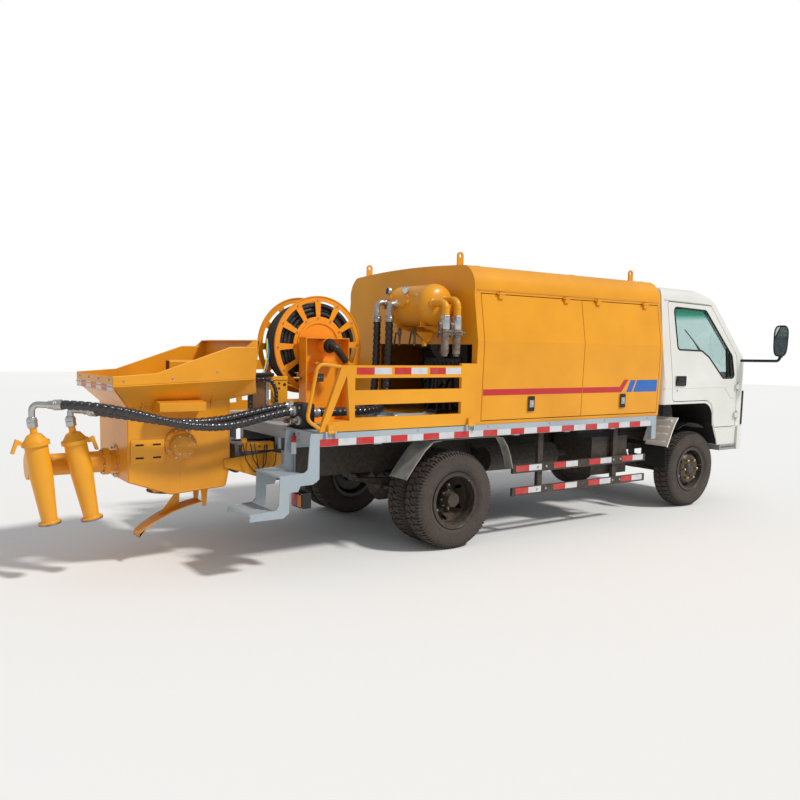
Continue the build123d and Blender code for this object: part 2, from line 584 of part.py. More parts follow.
outer = cab_body(0)
inner = cab_body(CAB_WALL)
with BuildPart() as cab_shell:
    add(outer)
    add(inner, mode=Mode.SUBTRACT)
    for side in (-1, 1):
        add(doorway(side, CAB_GAP, CAB_WALL + 5), mode=Mode.SUBTRACT)
    extrude(rounded(WINDSCREEN, front_plane(ax(3500))), amount=700, mode=Mode.SUBTRACT)
    for side in (-1, 1):
        for z in CAB_HINGES:
            rod((ax(CAB_HINGE_X), side * CAB_HINGE_Y, z - 45), (ax(CAB_HINGE_X), side * CAB_HINGE_Y, z + 45), PIN_R)
            for end in (-38, 38):
                block((ax(CAB_HINGE_X), ax(CAB_HINGE_X) + 30), sorted((side * (CAB_HALF - 4), side * (CAB_HINGE_Y + 4))),
                      (z + end - 7, z + end + 7))
save(cab_shell.part, "cab_shell")

for word, side in (("left", 1), ("right", -1)):
    plane = side_plane(side * 800 + 120)
    with BuildPart() as door:
        add(outer)
        add(inner, mode=Mode.SUBTRACT)
        add(doorway(side, 0, CAB_WALL), mode=Mode.INTERSECT)
        extrude(rounded(placed(CAB_WINDOW), plane), amount=240, mode=Mode.SUBTRACT)
        x = ax(CAB_HINGE_X)
        for z in CAB_HINGES:
            block((x - 45, x - 9), sorted((side * (CAB_HALF - 4), side * (CAB_HINGE_Y + 6))), (z - 25, z + 25))
            block((x - 10, x), sorted((side * (CAB_HALF + 6), side * (CAB_HINGE_Y + 6))), (z - 25, z + 25))
            rod((x, side * CAB_HINGE_Y, z - 25), (x, side * CAB_HINGE_Y, z + 25), KNUCKLE_R)
            rod((x, side * CAB_HINGE_Y, z - 26), (x, side * CAB_HINGE_Y, z + 26), PIN_R + RUN_GAP, mode=Mode.SUBTRACT)
        # the pull handle's black housing
        block((ax(2890), ax(3050)), sorted((side * (CAB_HALF - 5), side * (CAB_HALF + 8))), (1250, 1350))
    save(door.part, "cab_door_" + word)
    with BuildPart() as glass:
        add(cab_body(14))
        add(cab_body(19), mode=Mode.SUBTRACT)
        extrude(rounded(placed(CAB_WINDOW), plane, -SEAT), amount=240, mode=Mode.INTERSECT)
    save(glass.part, "door_glass_" + word)

with BuildPart() as windscreen:
    add(cab_body(14))
    add(cab_body(20), mode=Mode.SUBTRACT)
    extrude(rounded(WINDSCREEN, front_plane(ax(3550)), -SEAT), amount=650, both=True, mode=Mode.INTERSECT)
save(windscreen.part, "windscreen")

# Inside the cab: seats on the floor over the engine, dashboard with the steering wheel
SEAT_FLOOR = CAB_FLOOR + CAB_WALL
with BuildPart() as cab_seats:
    for low, high in ((230.0, 730.0), (-730.0, 130.0)):
        block((ax(2830), ax(3320)), (low, high), (SEAT_FLOOR, 1260))
        side_plate([(ax(2750), 1230), (ax(2880), 1230), (ax(2850), 1800), (ax(2760), 1800)], (low, high))
save(cab_seats.part, "cab_seats")

STEERING_Y = 420.0
with BuildPart() as dashboard:
    side_plate([(ax(3850), SEAT_FLOOR), (ax(4120), SEAT_FLOOR), (ax(4120), 1290), (ax(4060), 1330),
                (ax(3870), 1300)], (-665, 665))
    for y in (-500.0, 500.0):
        block((ax(3980), ax(4040)), (y - 30, y + 30), (CAB_SILL + CAB_WALL, SEAT_FLOOR + 20))
    rod((ax(3900), STEERING_Y, 1180), (ax(3640), STEERING_Y, 1440), 24)
    wheel = (ax(3640), STEERING_Y, 1440)
    tilt = (-1, 0, 1)
    turned(wheel, tilt, [(-14, 186), (0, 182), (14, 186), (18, 200), (14, 214), (0, 218), (-14, 214), (-18, 200)])
    turned(wheel, tilt, [(-12, 0), (-12, 55), (12, 45), (12, 0)])
    for dy, dz in ((1.0, 0.0), (-1.0, 0.0), (0.0, -1.0)):
        end = (ax(3640) + 195 * dz * 0.7071, STEERING_Y + 195 * dy, 1440 + 195 * dz * 0.7071)
        rod(wheel, end, 9)
save(dashboard.part, "dashboard")

# Cab trim: bumper, grille, lamps, steps, mirrors
with BuildPart() as front_bumper:
    for grow, mode in ((22.0, Mode.ADD), (SEAT, Mode.SUBTRACT)):
        with BuildSketch(Plane.XY.offset(560)) as plan:
            with Locations(((ax(3600) + ax(CAB_FRONT) + grow) / 2, 0)):
                Rectangle(CAB_FRONT + grow - 3600, 2 * (CAB_HALF + grow))
            fillet(plan.vertices().group_by(Axis.X)[-1], 150 + grow)
        extrude(plan.sketch, amount=252, mode=mode)
    block((ax(3500), ax(3985)), (-1000, 1000), (500, 900), mode=Mode.SUBTRACT)
save(front_bumper.part, "front_bumper")

with BuildPart() as front_grille:
    block((ax(4140), ax(4186)), (-480, 480), (900, 1080))
    block((ax(4140), ax(4180)), (-700, 700), (1110, 1190))
    add(outer, mode=Mode.SUBTRACT)
    extrude(rounded(WINDSCREEN, front_plane(ax(3500))), amount=700, mode=Mode.SUBTRACT)
save(front_grille.part, "front_grille")

with BuildPart() as headlamps:
    for side in (-1, 1):
        block((ax(4100), ax(4188)), sorted((side * 500, side * 760)), (880, 1060))
    add(outer, mode=Mode.SUBTRACT)
save(headlamps.part, "headlamps")

STEP_REAR = 3700.0
STEP_FRONT = 3984.0
with BuildPart() as cab_steps:
    for side in (-1, 1):
        block((ax(STEP_REAR), ax(STEP_FRONT)), sorted((side * 640, side * (CAB_HALF + 6))), (560, CAB_SILL))
save(cab_steps.part, "cab_steps")

MIRROR_Y = 1150.0
MIRROR_HEAD = (60.0, 190.0, 380.0)
with BuildPart() as mirrors:
    for side in (-1, 1):
        head = (ax(4215), side * MIRROR_Y, 1695)
        with Locations(Location(head, (0, 0, -side * 12))):
            Box(*MIRROR_HEAD)
        rod((ax(4030), side * 790, 1505), (ax(4215), side * (MIRROR_Y - 20), 1520), 17)
    add(outer, mode=Mode.SUBTRACT)
save(mirrors.part, "mirrors")

# Front mudguards: a liner over each front wheel and the sloping plate behind it
LINER_R = 500.0
with BuildPart() as mudguards:
    add(rear_mudguards.part)
    for side in (-1, 1):
        y0, y1 = sorted((side * 470, side * 800))
        with BuildSketch(side_plane(y1)) as arc:
            with BuildLine():
                pts = []
                for radius, order in ((LINER_R, (62, 90, 118)), (LINER_R + 5, (118, 90, 62))):
                    trio = [(FRONT_AXLE_X + radius * math.cos(math.radians(a)),
                             TYRE_R + radius * math.sin(math.radians(a))) for a in order]
                    pts.append(trio)
                    ThreePointArc(*trio)
                Line(pts[0][2], pts[1][0])
                Line(pts[1][2], pts[0][0])
            make_face()
        extrude(arc.sketch, amount=y1 - y0)
        for n in range(2):
            block((FRONT_AXLE_X - 80 + 130 * n, FRONT_AXLE_X - 50 + 130 * n),
                  sorted((side * RAIL_HALF, side * 480)), (RAIL_HIGH - 40, RAIL_HIGH))
            block((FRONT_AXLE_X - 80 + 130 * n, FRONT_AXLE_X - 50 + 130 * n),
                  sorted((side * 455, side * 480)), (RAIL_HIGH - 40, TYRE_R + LINER_R + 2))
        # sloping plate behind the wheel
        y0, y1 = sorted((side * 560, side * CAB_HALF))
        side_plate([(ax(2828), 645), (ax(2870), 800), (ax(2945), 925), (ax(2945), 935), (ax(2860), 806),
                    (ax(2820), 647)], (y0, y1))
        block((ax(2818), ax(2824)), (y0, y1), (430, 660))
        block((ax(2800), ax(2826)), sorted((side * RAIL_HALF, side * 600)), (640, 680))
        block((ax(2800), ax(2826)), sorted((side * 560, side * 840)), (640, 665))
save(mudguards.part, "mudguards")

# Rear steps: two bent side plates and two treads on each side, behind the deck
STEP_OUT = DECK_HALF
STEP_IN = 610.0
STEP_T = 8.0
STEP_OUTLINE = [
    (-1318, 980), (DECK_REAR, 980), (DECK_REAR, 659), (-1300, 627), (-1397, 624), (-1416, 586), (-1480, 585),
    (-1485, 443), (-1529, 413), (-1776, 412), (-1776, 440), (-1750, 465), (-1585, 470), (-1561, 502),
    (-1556, 683), (-1531, 703), (-1366, 713), (-1341, 734), (-1324, 963),
]
with BuildPart() as rear_steps:
    for side in (-1, 1):
        for y in (side * (STEP_OUT - STEP_T / 2), side * (STEP_IN + STEP_T / 2)):
            side_plate([(ax(a), z) for a, z in STEP_OUTLINE], (y - STEP_T / 2, y + STEP_T / 2))
        ys = sorted((side * STEP_IN, side * STEP_OUT))
        block((ax(-1560), ax(-1366)), ys, (690, 703))
        block((ax(-1776), ax(-1580)), ys, (447, 462))
        block((ax(-1330), ax(-1270)), ys, (640, 660))
        block((ax(DECK_REAR) - 12, ax(DECK_REAR)), ys, (EDGE_LOW, DECK_TOP))
save(rear_steps.part, "rear_steps")

with BuildPart() as tail_lamps:
    for side in (-1, 1):
        block((ax(-1355), ax(-1285)), sorted((side * 770, side * 930)), (450, 560))
        block((ax(-1325), ax(-1305)), sorted((side * 820, side * 880)), (560, 640))
save(tail_lamps.part, "tail_lamps")

# Side guards under the deck
GUARD_Y = 950.0
with BuildPart() as side_guards:
    for side in (-1, 1):
        for low, high in ((552.0, 620.0), (362.0, 430.0)):
            block((ax(620), ax(2340)), sorted((side * (GUARD_Y - 25), side * GUARD_Y)), (low, high))
        for place in (960.0, 1930.0):
            block((ax(place) - 30, ax(place) + 30), sorted((side * (GUARD_Y - 55), side * (GUARD_Y - 25))),
                  (375, EDGE_LOW))
            block((ax(place) - 30, ax(place) + 30), sorted((side * (GUARD_Y - 55), side * (GUARD_Y - 15))),
                  (EDGE_LOW - 20, EDGE_LOW))
save(side_guards.part, "side_guards")

# Tanks and boxes hung from the chassis
with BuildPart() as silencer:
    rod((ax(560), -640, 640), (ax(1380), -640, 640), 105)
    for place in (700.0, 1250.0):
        block((ax(place) - 20, ax(place) + 20), (-640, -RAIL_HALF), (640, 690))
    rod((ax(1380), -640, 640), (ax(1560), -640, 640), 28)
save(silencer.part, "silencer")

with BuildPart() as battery_box:
    block((ax(1660), ax(2150)), (-880, -420), (450, 800))
    block((ax(1700), ax(2110)), (-420, -RAIL_HALF), (600, 700))
save(battery_box.part, "battery_box")

with BuildPart() as fuel_tank:
    block((ax(620), ax(1720)), (430, 880), (420, 800))
    fillet(fuel_tank.edges().filter_by(Axis.X), 60)
    for place in (800.0, 1500.0):
        block((ax(place) - 25, ax(place) + 25), (RAIL_HALF, 460), (590, 700))
save(fuel_tank.part, "fuel_tank")

# Engine and gearbox of the truck, one plain block between the rails
with BuildPart() as truck_engine:
    block((ax(2820), ax(3560)), (-250, 250), (560, 1000))
    block((ax(2330), ax(2820)), (-170, 170), (520, 780))
    block((ax(2050), ax(2330)), (-60, 60), (520, 595))
    for place in (2900.0, 3400.0):
        block((ax(place) - 30, ax(place) + 30), (-(RAIL_HALF - RAIL_WEB), RAIL_HALF - RAIL_WEB), (640, 690))
save(truck_engine.part, "truck_engine")

# Hopper: trough, flare and lip, all one welded shell open at the top
W = HOPPER_WALL
TROUGH = [(HOPPER_REAR, BODY_HIGH), (HOPPER_REAR, 637), (-2088, 531), (-1686, 557), (HOPPER_FRONT, 690),
          (HOPPER_FRONT, BODY_HIGH)]
TROUGH_IN = [(HOPPER_REAR + W, BODY_HIGH + 1), (HOPPER_REAR + W, 645), (-2086, 543), (-1690, 569),
             (HOPPER_FRONT - W, 696), (HOPPER_FRONT - W, BODY_HIGH + 1)]
LIP = [(LIP_REAR, LIP_LOW), (LIP_REAR, 1356), (-2229, 1376), (-1690, 1557), (LIP_FRONT, 1610), (LIP_FRONT, LIP_LOW)]


def rectangle_at(z, rear, front, half):
    with BuildSketch(Plane.XY.offset(z)) as shape:
        with Locations(((ax(rear) + ax(front)) / 2, 0)):
            Rectangle(front - rear, 2 * half)
    return shape.sketch


PIN_LEDGE = 455.0
GRATE_Z = LIP_LOW + 26
GRATE_HINGE_X = -1535.0
SHAFT_R = 28.0
OUTLET_R = 75.0
OUTLET_Y = -50.0
OUTLET_Z = 745.0
CYLINDER_Y = 112.0
CYLINDER_Z = 690.0
CYLINDER_R = 95.0
FLAP_HINGE_X = -1941.0
FLAP_HINGE_Z = 505.0
with BuildPart() as hopper:
    side_plate([(ax(a), z) for a, z in TROUGH], (-HOPPER_HALF, HOPPER_HALF))
    side_plate([(ax(a), z) for a, z in LIP], (-LIP_HALF, LIP_HALF))
    loft([rectangle_at(BODY_HIGH, HOPPER_REAR, HOPPER_FRONT, HOPPER_HALF),
          rectangle_at(LIP_LOW, LIP_REAR, LIP_FRONT, LIP_HALF)], ruled=True)
    side_plate([(ax(a), z) for a, z in TROUGH_IN], (W - HOPPER_HALF, HOPPER_HALF - W), mode=Mode.SUBTRACT)
    loft([rectangle_at(BODY_HIGH, HOPPER_REAR + W, HOPPER_FRONT - W, HOPPER_HALF - W),
          rectangle_at(LIP_LOW, LIP_REAR + W, LIP_FRONT - W, LIP_HALF - W)], ruled=True, mode=Mode.SUBTRACT)
    block((ax(LIP_REAR) + W, ax(LIP_FRONT) - W), (W - LIP_HALF, LIP_HALF - W), (LIP_LOW, 1700), mode=Mode.SUBTRACT)
    # ledges for the grate and pins for its hinge
    for side in (-1, 1):
        block((ax(LIP_REAR) + 40, ax(LIP_FRONT) - 120), sorted((side * (LIP_HALF - W), side * (LIP_HALF - W - 30))),
              (LIP_LOW, LIP_LOW + 12))
        rod((ax(GRATE_HINGE_X), side * (LIP_HALF - W / 2), GRATE_Z), (ax(GRATE_HINGE_X), side * PIN_LEDGE, GRATE_Z),
            PIN_R)
        # supports that run forward to the chassis rails
        ys = sorted((side * HOPPER_HALF, side * (HOPPER_HALF + 14)))
        side_plate([(ax(-1800), 600), (ax(-1800), 800), (ax(-1110), 735), (ax(-1110), 600)], ys)
        ys = sorted((side * HOPPER_HALF, side * LIP_HALF))
        block((ax(-2213), ax(-1880)), ys, (1105, 1185))
        rod((ax(AGITATOR_X), side * (HOPPER_HALF - 40), AGITATOR_Z), (ax(AGITATOR_X), side * 420, AGITATOR_Z), 40,
            mode=Mode.SUBTRACT)
    # pin and ears of the clean-out flap
    rod((ax(FLAP_HINGE_X), -160, FLAP_HINGE_Z), (ax(FLAP_HINGE_X), 160, FLAP_HINGE_Z), PIN_R)
    for side in (-1, 1):
        side_plate([(ax(FLAP_HINGE_X) - 20, 490), (ax(FLAP_HINGE_X) + 20, 490), (ax(FLAP_HINGE_X) + 30, 546),
                    (ax(FLAP_HINGE_X) - 30, 542)], sorted((side * 146, side * 156)))
save(hopper.part, "hopper")

with BuildPart() as mixer_drives:
    for side, length in ((-1, 90.0), (1, 230.0)):
        centre = (ax(AGITATOR_X), 0, AGITATOR_Z)
        h = HOPPER_HALF
        turned(centre, (0, side, 0), [(h, SHAFT_R + RUN_GAP), (h, 115), (h + 16, 115), (h + 26, 88), (h + length, 88),
                                      (h + length + 12, 60), (h + length + 12, 0), (h + length, 0),
                                      (h + length, SHAFT_R + RUN_GAP)])
        turned(centre, (0, side, 0), [(h - W, SHAFT_R + RUN_GAP), (h - W, 39.5), (h + 5, 39.5),
                                      (h + 5, SHAFT_R + RUN_GAP)])
save(mixer_drives.part, "mixer_drives")

with BuildPart() as agitator:
    rod((ax(AGITATOR_X), -HOPPER_HALF - 84, AGITATOR_Z), (ax(AGITATOR_X), HOPPER_HALF + 220, AGITATOR_Z), SHAFT_R)
    for n, y in enumerate((-270.0, -162.0, -54.0, 54.0, 162.0, 270.0)):
        a = math.radians(60 * n)
        end = (ax(AGITATOR_X) + 270 * math.cos(a), y, AGITATOR_Z + 270 * math.sin(a))
        rod((ax(AGITATOR_X), y, AGITATOR_Z), end, 16)
        paddle = Plane(origin=end, x_dir=(0, 1, 0), z_dir=(math.cos(a), 0, math.sin(a)))
        with BuildSketch(paddle.offset(-15)) as tip:
            Rectangle(90, 60)
        extrude(tip.sketch, amount=18)
save(agitator.part, "agitator")

with BuildPart() as hopper_grate:
    x0 = ax(LIP_REAR) + 30
    x1 = ax(GRATE_HINGE_X)
    y1 = LIP_HALF - W - 8
    for x in (x0, x1 - 40):
        block((x, x + 16), (-y1, y1), (LIP_LOW + 12 + SEAT, LIP_LOW + 34))
    for n in range(12):
        y = -y1 + 6 + n * (2 * y1 - 12) / 11
        block((x0, x1), (y - 6, y + 6), (LIP_LOW + 14, LIP_LOW + 32))
    rod((x1, -y1, GRATE_Z), (x1, y1, GRATE_Z), KNUCKLE_R)
    rod((x1, -y1 - 1, GRATE_Z), (x1, y1 + 1, GRATE_Z), PIN_R + RUN_GAP, mode=Mode.SUBTRACT)
save(hopper_grate.part, "hopper_grate")

# Clean-out flap under the trough with its bent handle
with BuildPart() as cleanout_door:
    rod((ax(FLAP_HINGE_X), -110, FLAP_HINGE_Z), (ax(FLAP_HINGE_X), 110, FLAP_HINGE_Z), 14)
    side_plate([(ax(-2160), 500), (ax(-2160), 512), (ax(-1930), 512), (ax(-1930), 500)], (-130, 130))
    side_plate([(ax(-1870), 470), (ax(-1860), 484), (ax(-1935), 512), (ax(-2090), 450), (ax(-2240), 360),
                (ax(-2312), 278), (ax(-2312), 240), (ax(-2298), 240), (ax(-2296), 272), (ax(-2230), 345),
                (ax(-2082), 436), (ax(-1950), 490)], (-140, -126))
    rod((ax(FLAP_HINGE_X), -141, FLAP_HINGE_Z), (ax(FLAP_HINGE_X), 131, FLAP_HINGE_Z), PIN_R + RUN_GAP,
        mode=Mode.SUBTRACT)
save(cleanout_door.part, "cleanout_door")

# Outlet manifold behind the hopper and the two spray converters that hang from it
CONES = (
    # nut x, nut z, flange x, flange z
    (-2981.0, 1062.0, -2886.0, 392.0),
    (-2745.0, 1062.0, -2619.0, 396.0),
)
CONE_Y = -300.0
CONE_TOP_R = 72.5
CONE_END_R = 50.0
CONE_BORE = 34.0
STUB_R = 45.0
with BuildPart() as converter_cones:
    for nx, nz, fx, fz in CONES:
        top = (ax(nx), CONE_Y, nz)
        down = (fx - nx, 0, fz - nz)
        length = math.hypot(fx - nx, fz - nz)
        turned(top, down, [(0, 16), (0, 28), (34, 28), (40, 22), (70, 22), (80, 46), (125, 78), (125, 88), (150, 88),
                           (150, CONE_TOP_R), (length * 0.52, CONE_TOP_R), (length - 14, CONE_END_R),
                           (length - 14, 71), (length, 71), (length, CONE_BORE), (length - 40, CONE_BORE),
                           (length * 0.52, CONE_TOP_R - 8), (130, CONE_TOP_R - 8), (86, 30), (60, 16)])
    # clamp levers on the far sides of the two converters
    for (nx, nz, fx, fz), way in zip(CONES, (-1, 1)):
        x = nx + (fx - nx) * 0.2
        z = nz + (fz - nz) * 0.2
        side_plate([(ax(x + way * 84), z - 12), (ax(x + way * 84), z + 14), (ax(x + way * 120), z + 30),
                    (ax(x + way * 150), z - 60), (ax(x + way * 132), z - 64), (ax(x + way * 110), z - 6)],
                   (CONE_Y - 20, CONE_Y + 20))
save(converter_cones.part, "converter_cones")

with BuildPart() as outlet_manifold:
    start = (ax(HOPPER_REAR) + 0, OUTLET_Y, OUTLET_Z)
    turned(start, (-1, 0, 0), [(0, 0), (0, 120), (16, 120), (16, OUTLET_R), (60, OUTLET_R), (60, 95), (100, 95),
                               (100, OUTLET_R), (560, OUTLET_R), (560, 92), (600, 92), (600, 0)])
    for nx, nz, fx, fz in CONES:
        x = nx + (fx - nx) * (nz - OUTLET_Z) / (nz - fz)
        rod((ax(x), OUTLET_Y, OUTLET_Z), (ax(x), CONE_Y, OUTLET_Z), STUB_R)
        rod((ax(x), OUTLET_Y - 100, OUTLET_Z), (ax(x), OUTLET_Y - 140, OUTLET_Z), STUB_R + 16)
    add(converter_cones.part, mode=Mode.SUBTRACT)
    for nx, nz, fx, fz in CONES:
        down = (fx - nx, 0, fz - nz)
        turned((ax(nx), CONE_Y, nz), down, [(150, 0), (150, CONE_TOP_R + SEAT), (400, CONE_TOP_R + SEAT), (400, 0)],
               mode=Mode.SUBTRACT)
save(outlet_manifold.part, "outlet_manifold")

# Pump cylinders between the rails
with BuildPart() as pump_cylinders:
    for side in (-1, 1):
        y = side * CYLINDER_Y
        rod((ax(HOPPER_FRONT), y, CYLINDER_Z + 30), (ax(-620), y, CYLINDER_Z + 30), CYLINDER_R)
        rod((ax(-500), y, CYLINDER_Z), (ax(560), y, CYLINDER_Z), 55)
    block((ax(HOPPER_FRONT), ax(HOPPER_FRONT) + 30), (-225, 225), (620, 830))
    block((ax(-620), ax(-480)), (-225, 225), (585, 830))
save(pump_cylinders.part, "pump_cylinders")

# Hose reel: stand, drum with slotted discs, hose wound on it
REEL_DISC_T = 6.0
REEL_HUB_R = 175.0
REEL_SHAFT_END = -292.0
SLOT_IN = 232.0
SLOT_OUT = 352.0
SLOT_COUNT = 12
SLOT_ANGLE = 10.5
HOSE_R = 25.0
COLUMN_NEAR = -300.0
COLUMN_FAR = -188.0
with BuildPart() as reel_stand:
    x0 = ax(-990)
    x1 = ax(-595)
    side_plate([(x0, DECK_TOP), (x1, DECK_TOP), (x1, 1648), (x0, 1648)], (COLUMN_FAR - 10, COLUMN_FAR))
    for x in (x0, x1 - 8):
        block((x, x + 8), (COLUMN_NEAR, COLUMN_FAR), (DECK_TOP, 1648))
    block((x0, x1), (COLUMN_NEAR, COLUMN_FAR), (DECK_TOP, DECK_TOP + 10))
    block((x0, x1), (COLUMN_NEAR, COLUMN_FAR), (1640, 1648))
    block((x0 + 100, x1 - 100), (COLUMN_NEAR + 20, COLUMN_FAR - 5), (1440, 1460))
    rod((ax(REEL_X), COLUMN_NEAR - 20, REEL_Z), (ax(REEL_X), COLUMN_FAR + 12, REEL_Z), 58)
    side_plate([(x1 - 6, DECK_TOP), (x1 + 190, DECK_TOP), (x1 + 190, DECK_TOP + 12), (x1 - 1, 1330),
                (x1 - 6, 1330)], (-200, -190))
    block((ax(-893), ax(-802)), (COLUMN_FAR - 60, COLUMN_FAR - 5), (1301, 1364))
    rod((ax(REEL_X), COLUMN_NEAR - 22, REEL_Z), (ax(REEL_X), COLUMN_FAR + 20, REEL_Z), REEL_SHAFT_R + RUN_GAP,
        mode=Mode.SUBTRACT)
    # the swivel's outlet elbow
    swivel = ax(REEL_X)
    rod((swivel, COLUMN_NEAR - 20, REEL_Z), (swivel, COLUMN_NEAR - 50, REEL_Z), 44)
    bent_tube([(swivel, COLUMN_NEAR - 30, REEL_Z), (swivel, COLUMN_NEAR - 90, REEL_Z),
               (swivel + 110, COLUMN_NEAR - 90, REEL_Z - 120)], [45], 28)
save(reel_stand.part, "reel_stand")

with BuildPart() as reel_drum:
    centre = (ax(REEL_X), 0, REEL_Z)
    for y in (REEL_NEAR_Y, REEL_FAR_Y - REEL_DISC_T):
        turned(centre, (0, 1, 0), [(y, 0), (y, REEL_R - 8), (y - 5, REEL_R - 8), (y - 5, REEL_R),
                                   (y + REEL_DISC_T + 5, REEL_R), (y + REEL_DISC_T + 5, REEL_R - 8),
                                   (y + REEL_DISC_T, REEL_R - 8), (y + REEL_DISC_T, 0)])
    for n in range(SLOT_COUNT):
        a = 360.0 * n / SLOT_COUNT + 77.0
        trio_in = []
        trio_out = []
        for step in (-SLOT_ANGLE, 0, SLOT_ANGLE):
            c = math.cos(math.radians(a + step))
            s = math.sin(math.radians(a + step))
            trio_in.append((ax(REEL_X) + SLOT_IN * c, REEL_Z + SLOT_IN * s))
            trio_out.append((ax(REEL_X) + SLOT_OUT * c, REEL_Z + SLOT_OUT * s))
        with BuildSketch(side_plane(REEL_FAR_Y + 10)) as slot:
            with BuildLine():
                ThreePointArc(*trio_in)
                Line(trio_in[2], trio_out[2])
                ThreePointArc(*trio_out)
                Line(trio_out[0], trio_in[0])
            make_face()
        extrude(slot.sketch, amount=REEL_FAR_Y - REEL_NEAR_Y + 20, mode=Mode.SUBTRACT)
    turned(centre, (0, 1, 0), [(REEL_NEAR_Y, 0), (REEL_NEAR_Y, REEL_HUB_R), (REEL_FAR_Y, REEL_HUB_R), (REEL_FAR_Y, 0)])
    rod((ax(REEL_X), REEL_SHAFT_END, REEL_Z), (ax(REEL_X), REEL_NEAR_Y, REEL_Z), REEL_SHAFT_R)
save(reel_drum.part, "reel_drum")

WOUND_R = 348.0
with BuildPart() as wound_hose:
    centre = (ax(REEL_X), 0, REEL_Z)
    low = REEL_NEAR_Y + REEL_DISC_T + SEAT
    high = REEL_FAR_Y - REEL_DISC_T - SEAT
    turned(centre, (0, 1, 0), [(low, REEL_HUB_R + SEAT), (low, WOUND_R), (high, WOUND_R), (high, REEL_HUB_R + SEAT)])
save(wound_hose.part, "wound_hose")

# Compressed-air tank across the canopy's rear wall, with its two yellow outlet pipes
TANK_LENGTH = TANK_LEFT - TANK_RIGHT
DOME = 80.0
DOME_R = (TANK_R ** 2 + DOME ** 2) / (2 * DOME)
PIPE_R = 28.0
PIPE_Y = -905.0
PIPES = (
    # ahead, start height
    (-35.0, 1985.0),
    (-135.0, 1955.0),
)
PIPE_END = 1640.0
with BuildPart() as air_tank:
    half_angle = math.asin(TANK_R / DOME_R) / 2
    mid_x = DOME_R * math.cos(half_angle)
    mid_y = DOME_R * math.sin(half_angle)
    plane = Plane(origin=(ax(TANK_X), TANK_LEFT, TANK_Z), x_dir=(0, -1, 0), z_dir=(1, 0, 0))
    with BuildSketch(plane) as half:
        with BuildLine():
            Line((0, 0), (TANK_LENGTH, 0))
            ThreePointArc((TANK_LENGTH, 0), (TANK_LENGTH - DOME_R + mid_x, -mid_y), (TANK_LENGTH - DOME, -TANK_R))
            Line((TANK_LENGTH - DOME, -TANK_R), (DOME, -TANK_R))
            ThreePointArc((DOME, -TANK_R), (DOME_R - mid_x, -mid_y), (0, 0))
        make_face()
    revolve(half.sketch, axis=Axis((ax(TANK_X), TANK_LEFT, TANK_Z), (0, -1, 0)))
    for y in (-700.0, -230.0):
        block((ax(TANK_X) - 110, ax(CANOPY_REAR)), (y - 20, y + 20), (TANK_Z - 215, TANK_Z - 130))
        block((ax(CANOPY_REAR) - 12, ax(CANOPY_REAR)), (y - 45, y + 45), (TANK_Z - 300, TANK_Z + 20))
    for ahead, z in PIPES:
        bent_tube([(ax(ahead), TANK_RIGHT + 70, z), (ax(ahead), PIPE_Y, z), (ax(ahead), PIPE_Y, PIPE_END)], [45], PIPE_R)
save(air_tank.part, "air_tank")

# Fittings on the tank: valves on the outlet pipes, drain cocks, gauges, hose elbows
TANK_HOSE = (
    # ahead of elbow, y, height
    (-280.0, -225.0, 1955.0),
    (-255.0, -365.0, 1965.0),
)
TANK_HOSE_END = 1840.0
with BuildPart() as tank_couplings:
    for ahead, z in PIPES:
        top = (ax(ahead), PIPE_Y, PIPE_END - SEAT)
        turned(top, (0, 0, -1), [(0, 0), (0, 44), (14, 44), (14, 34), (40, 34), (40, 42), (90, 42), (90, 32),
                                 (118, 32), (118, 38), (140, 38), (140, 0)])
        rod((ax(ahead), PIPE_Y, PIPE_END - 65), (ax(ahead) - 44, PIPE_Y, PIPE_END - 40), 9)
    for y in (-185.0, -370.0):
        rod((ax(TANK_X), y, TANK_Z - TANK_R + 2), (ax(TANK_X), y, 1690), 11)
        block((ax(TANK_X) - 16, ax(TANK_X) + 16), (y - 16, y + 16), (1700, 1740))
    for x, y in ((-150.0, -330.0), (-150.0, -470.0)):
        rod((ax(x), y, 2030), (ax(x) - 40, y, 2100), 9)
        rod((ax(x) - 28, y, 2100), (ax(x) - 52, y - 6, 2100), 42)
    for ahead, y, z in TANK_HOSE:
        bent_tube([(ax(-160), y, z), (ax(ahead), y, z), (ax(ahead), y, TANK_HOSE_END)], [40], 20)
        rod((ax(-190), y, z), (ax(-205), y, z), 30)
        rod((ax(ahead), y, TANK_HOSE_END), (ax(ahead), y, TANK_HOSE_END + 40), 28)
    add(air_tank.part, mode=Mode.SUBTRACT)
save(tank_couplings.part, "tank_couplings")

# Hose manifold on the deck's rear edge, and the hoses' other fittings
BLOCK_REAR = -1240.0
BLOCK_FRONT = -1130.0

# The largest tangent arcs a run of points allows, as one radius per inner point
def easy_radii(points):
    radii = []
    for a, b, c in zip(points, points[1:], points[2:]):
        u = Vector(*b) - Vector(*a)
        v = Vector(*c) - Vector(*b)
        turn = math.radians(u.get_angle(v))
        radii.append(0.45 * min(u.length, v.length) / math.tan(turn / 2))
    return radii


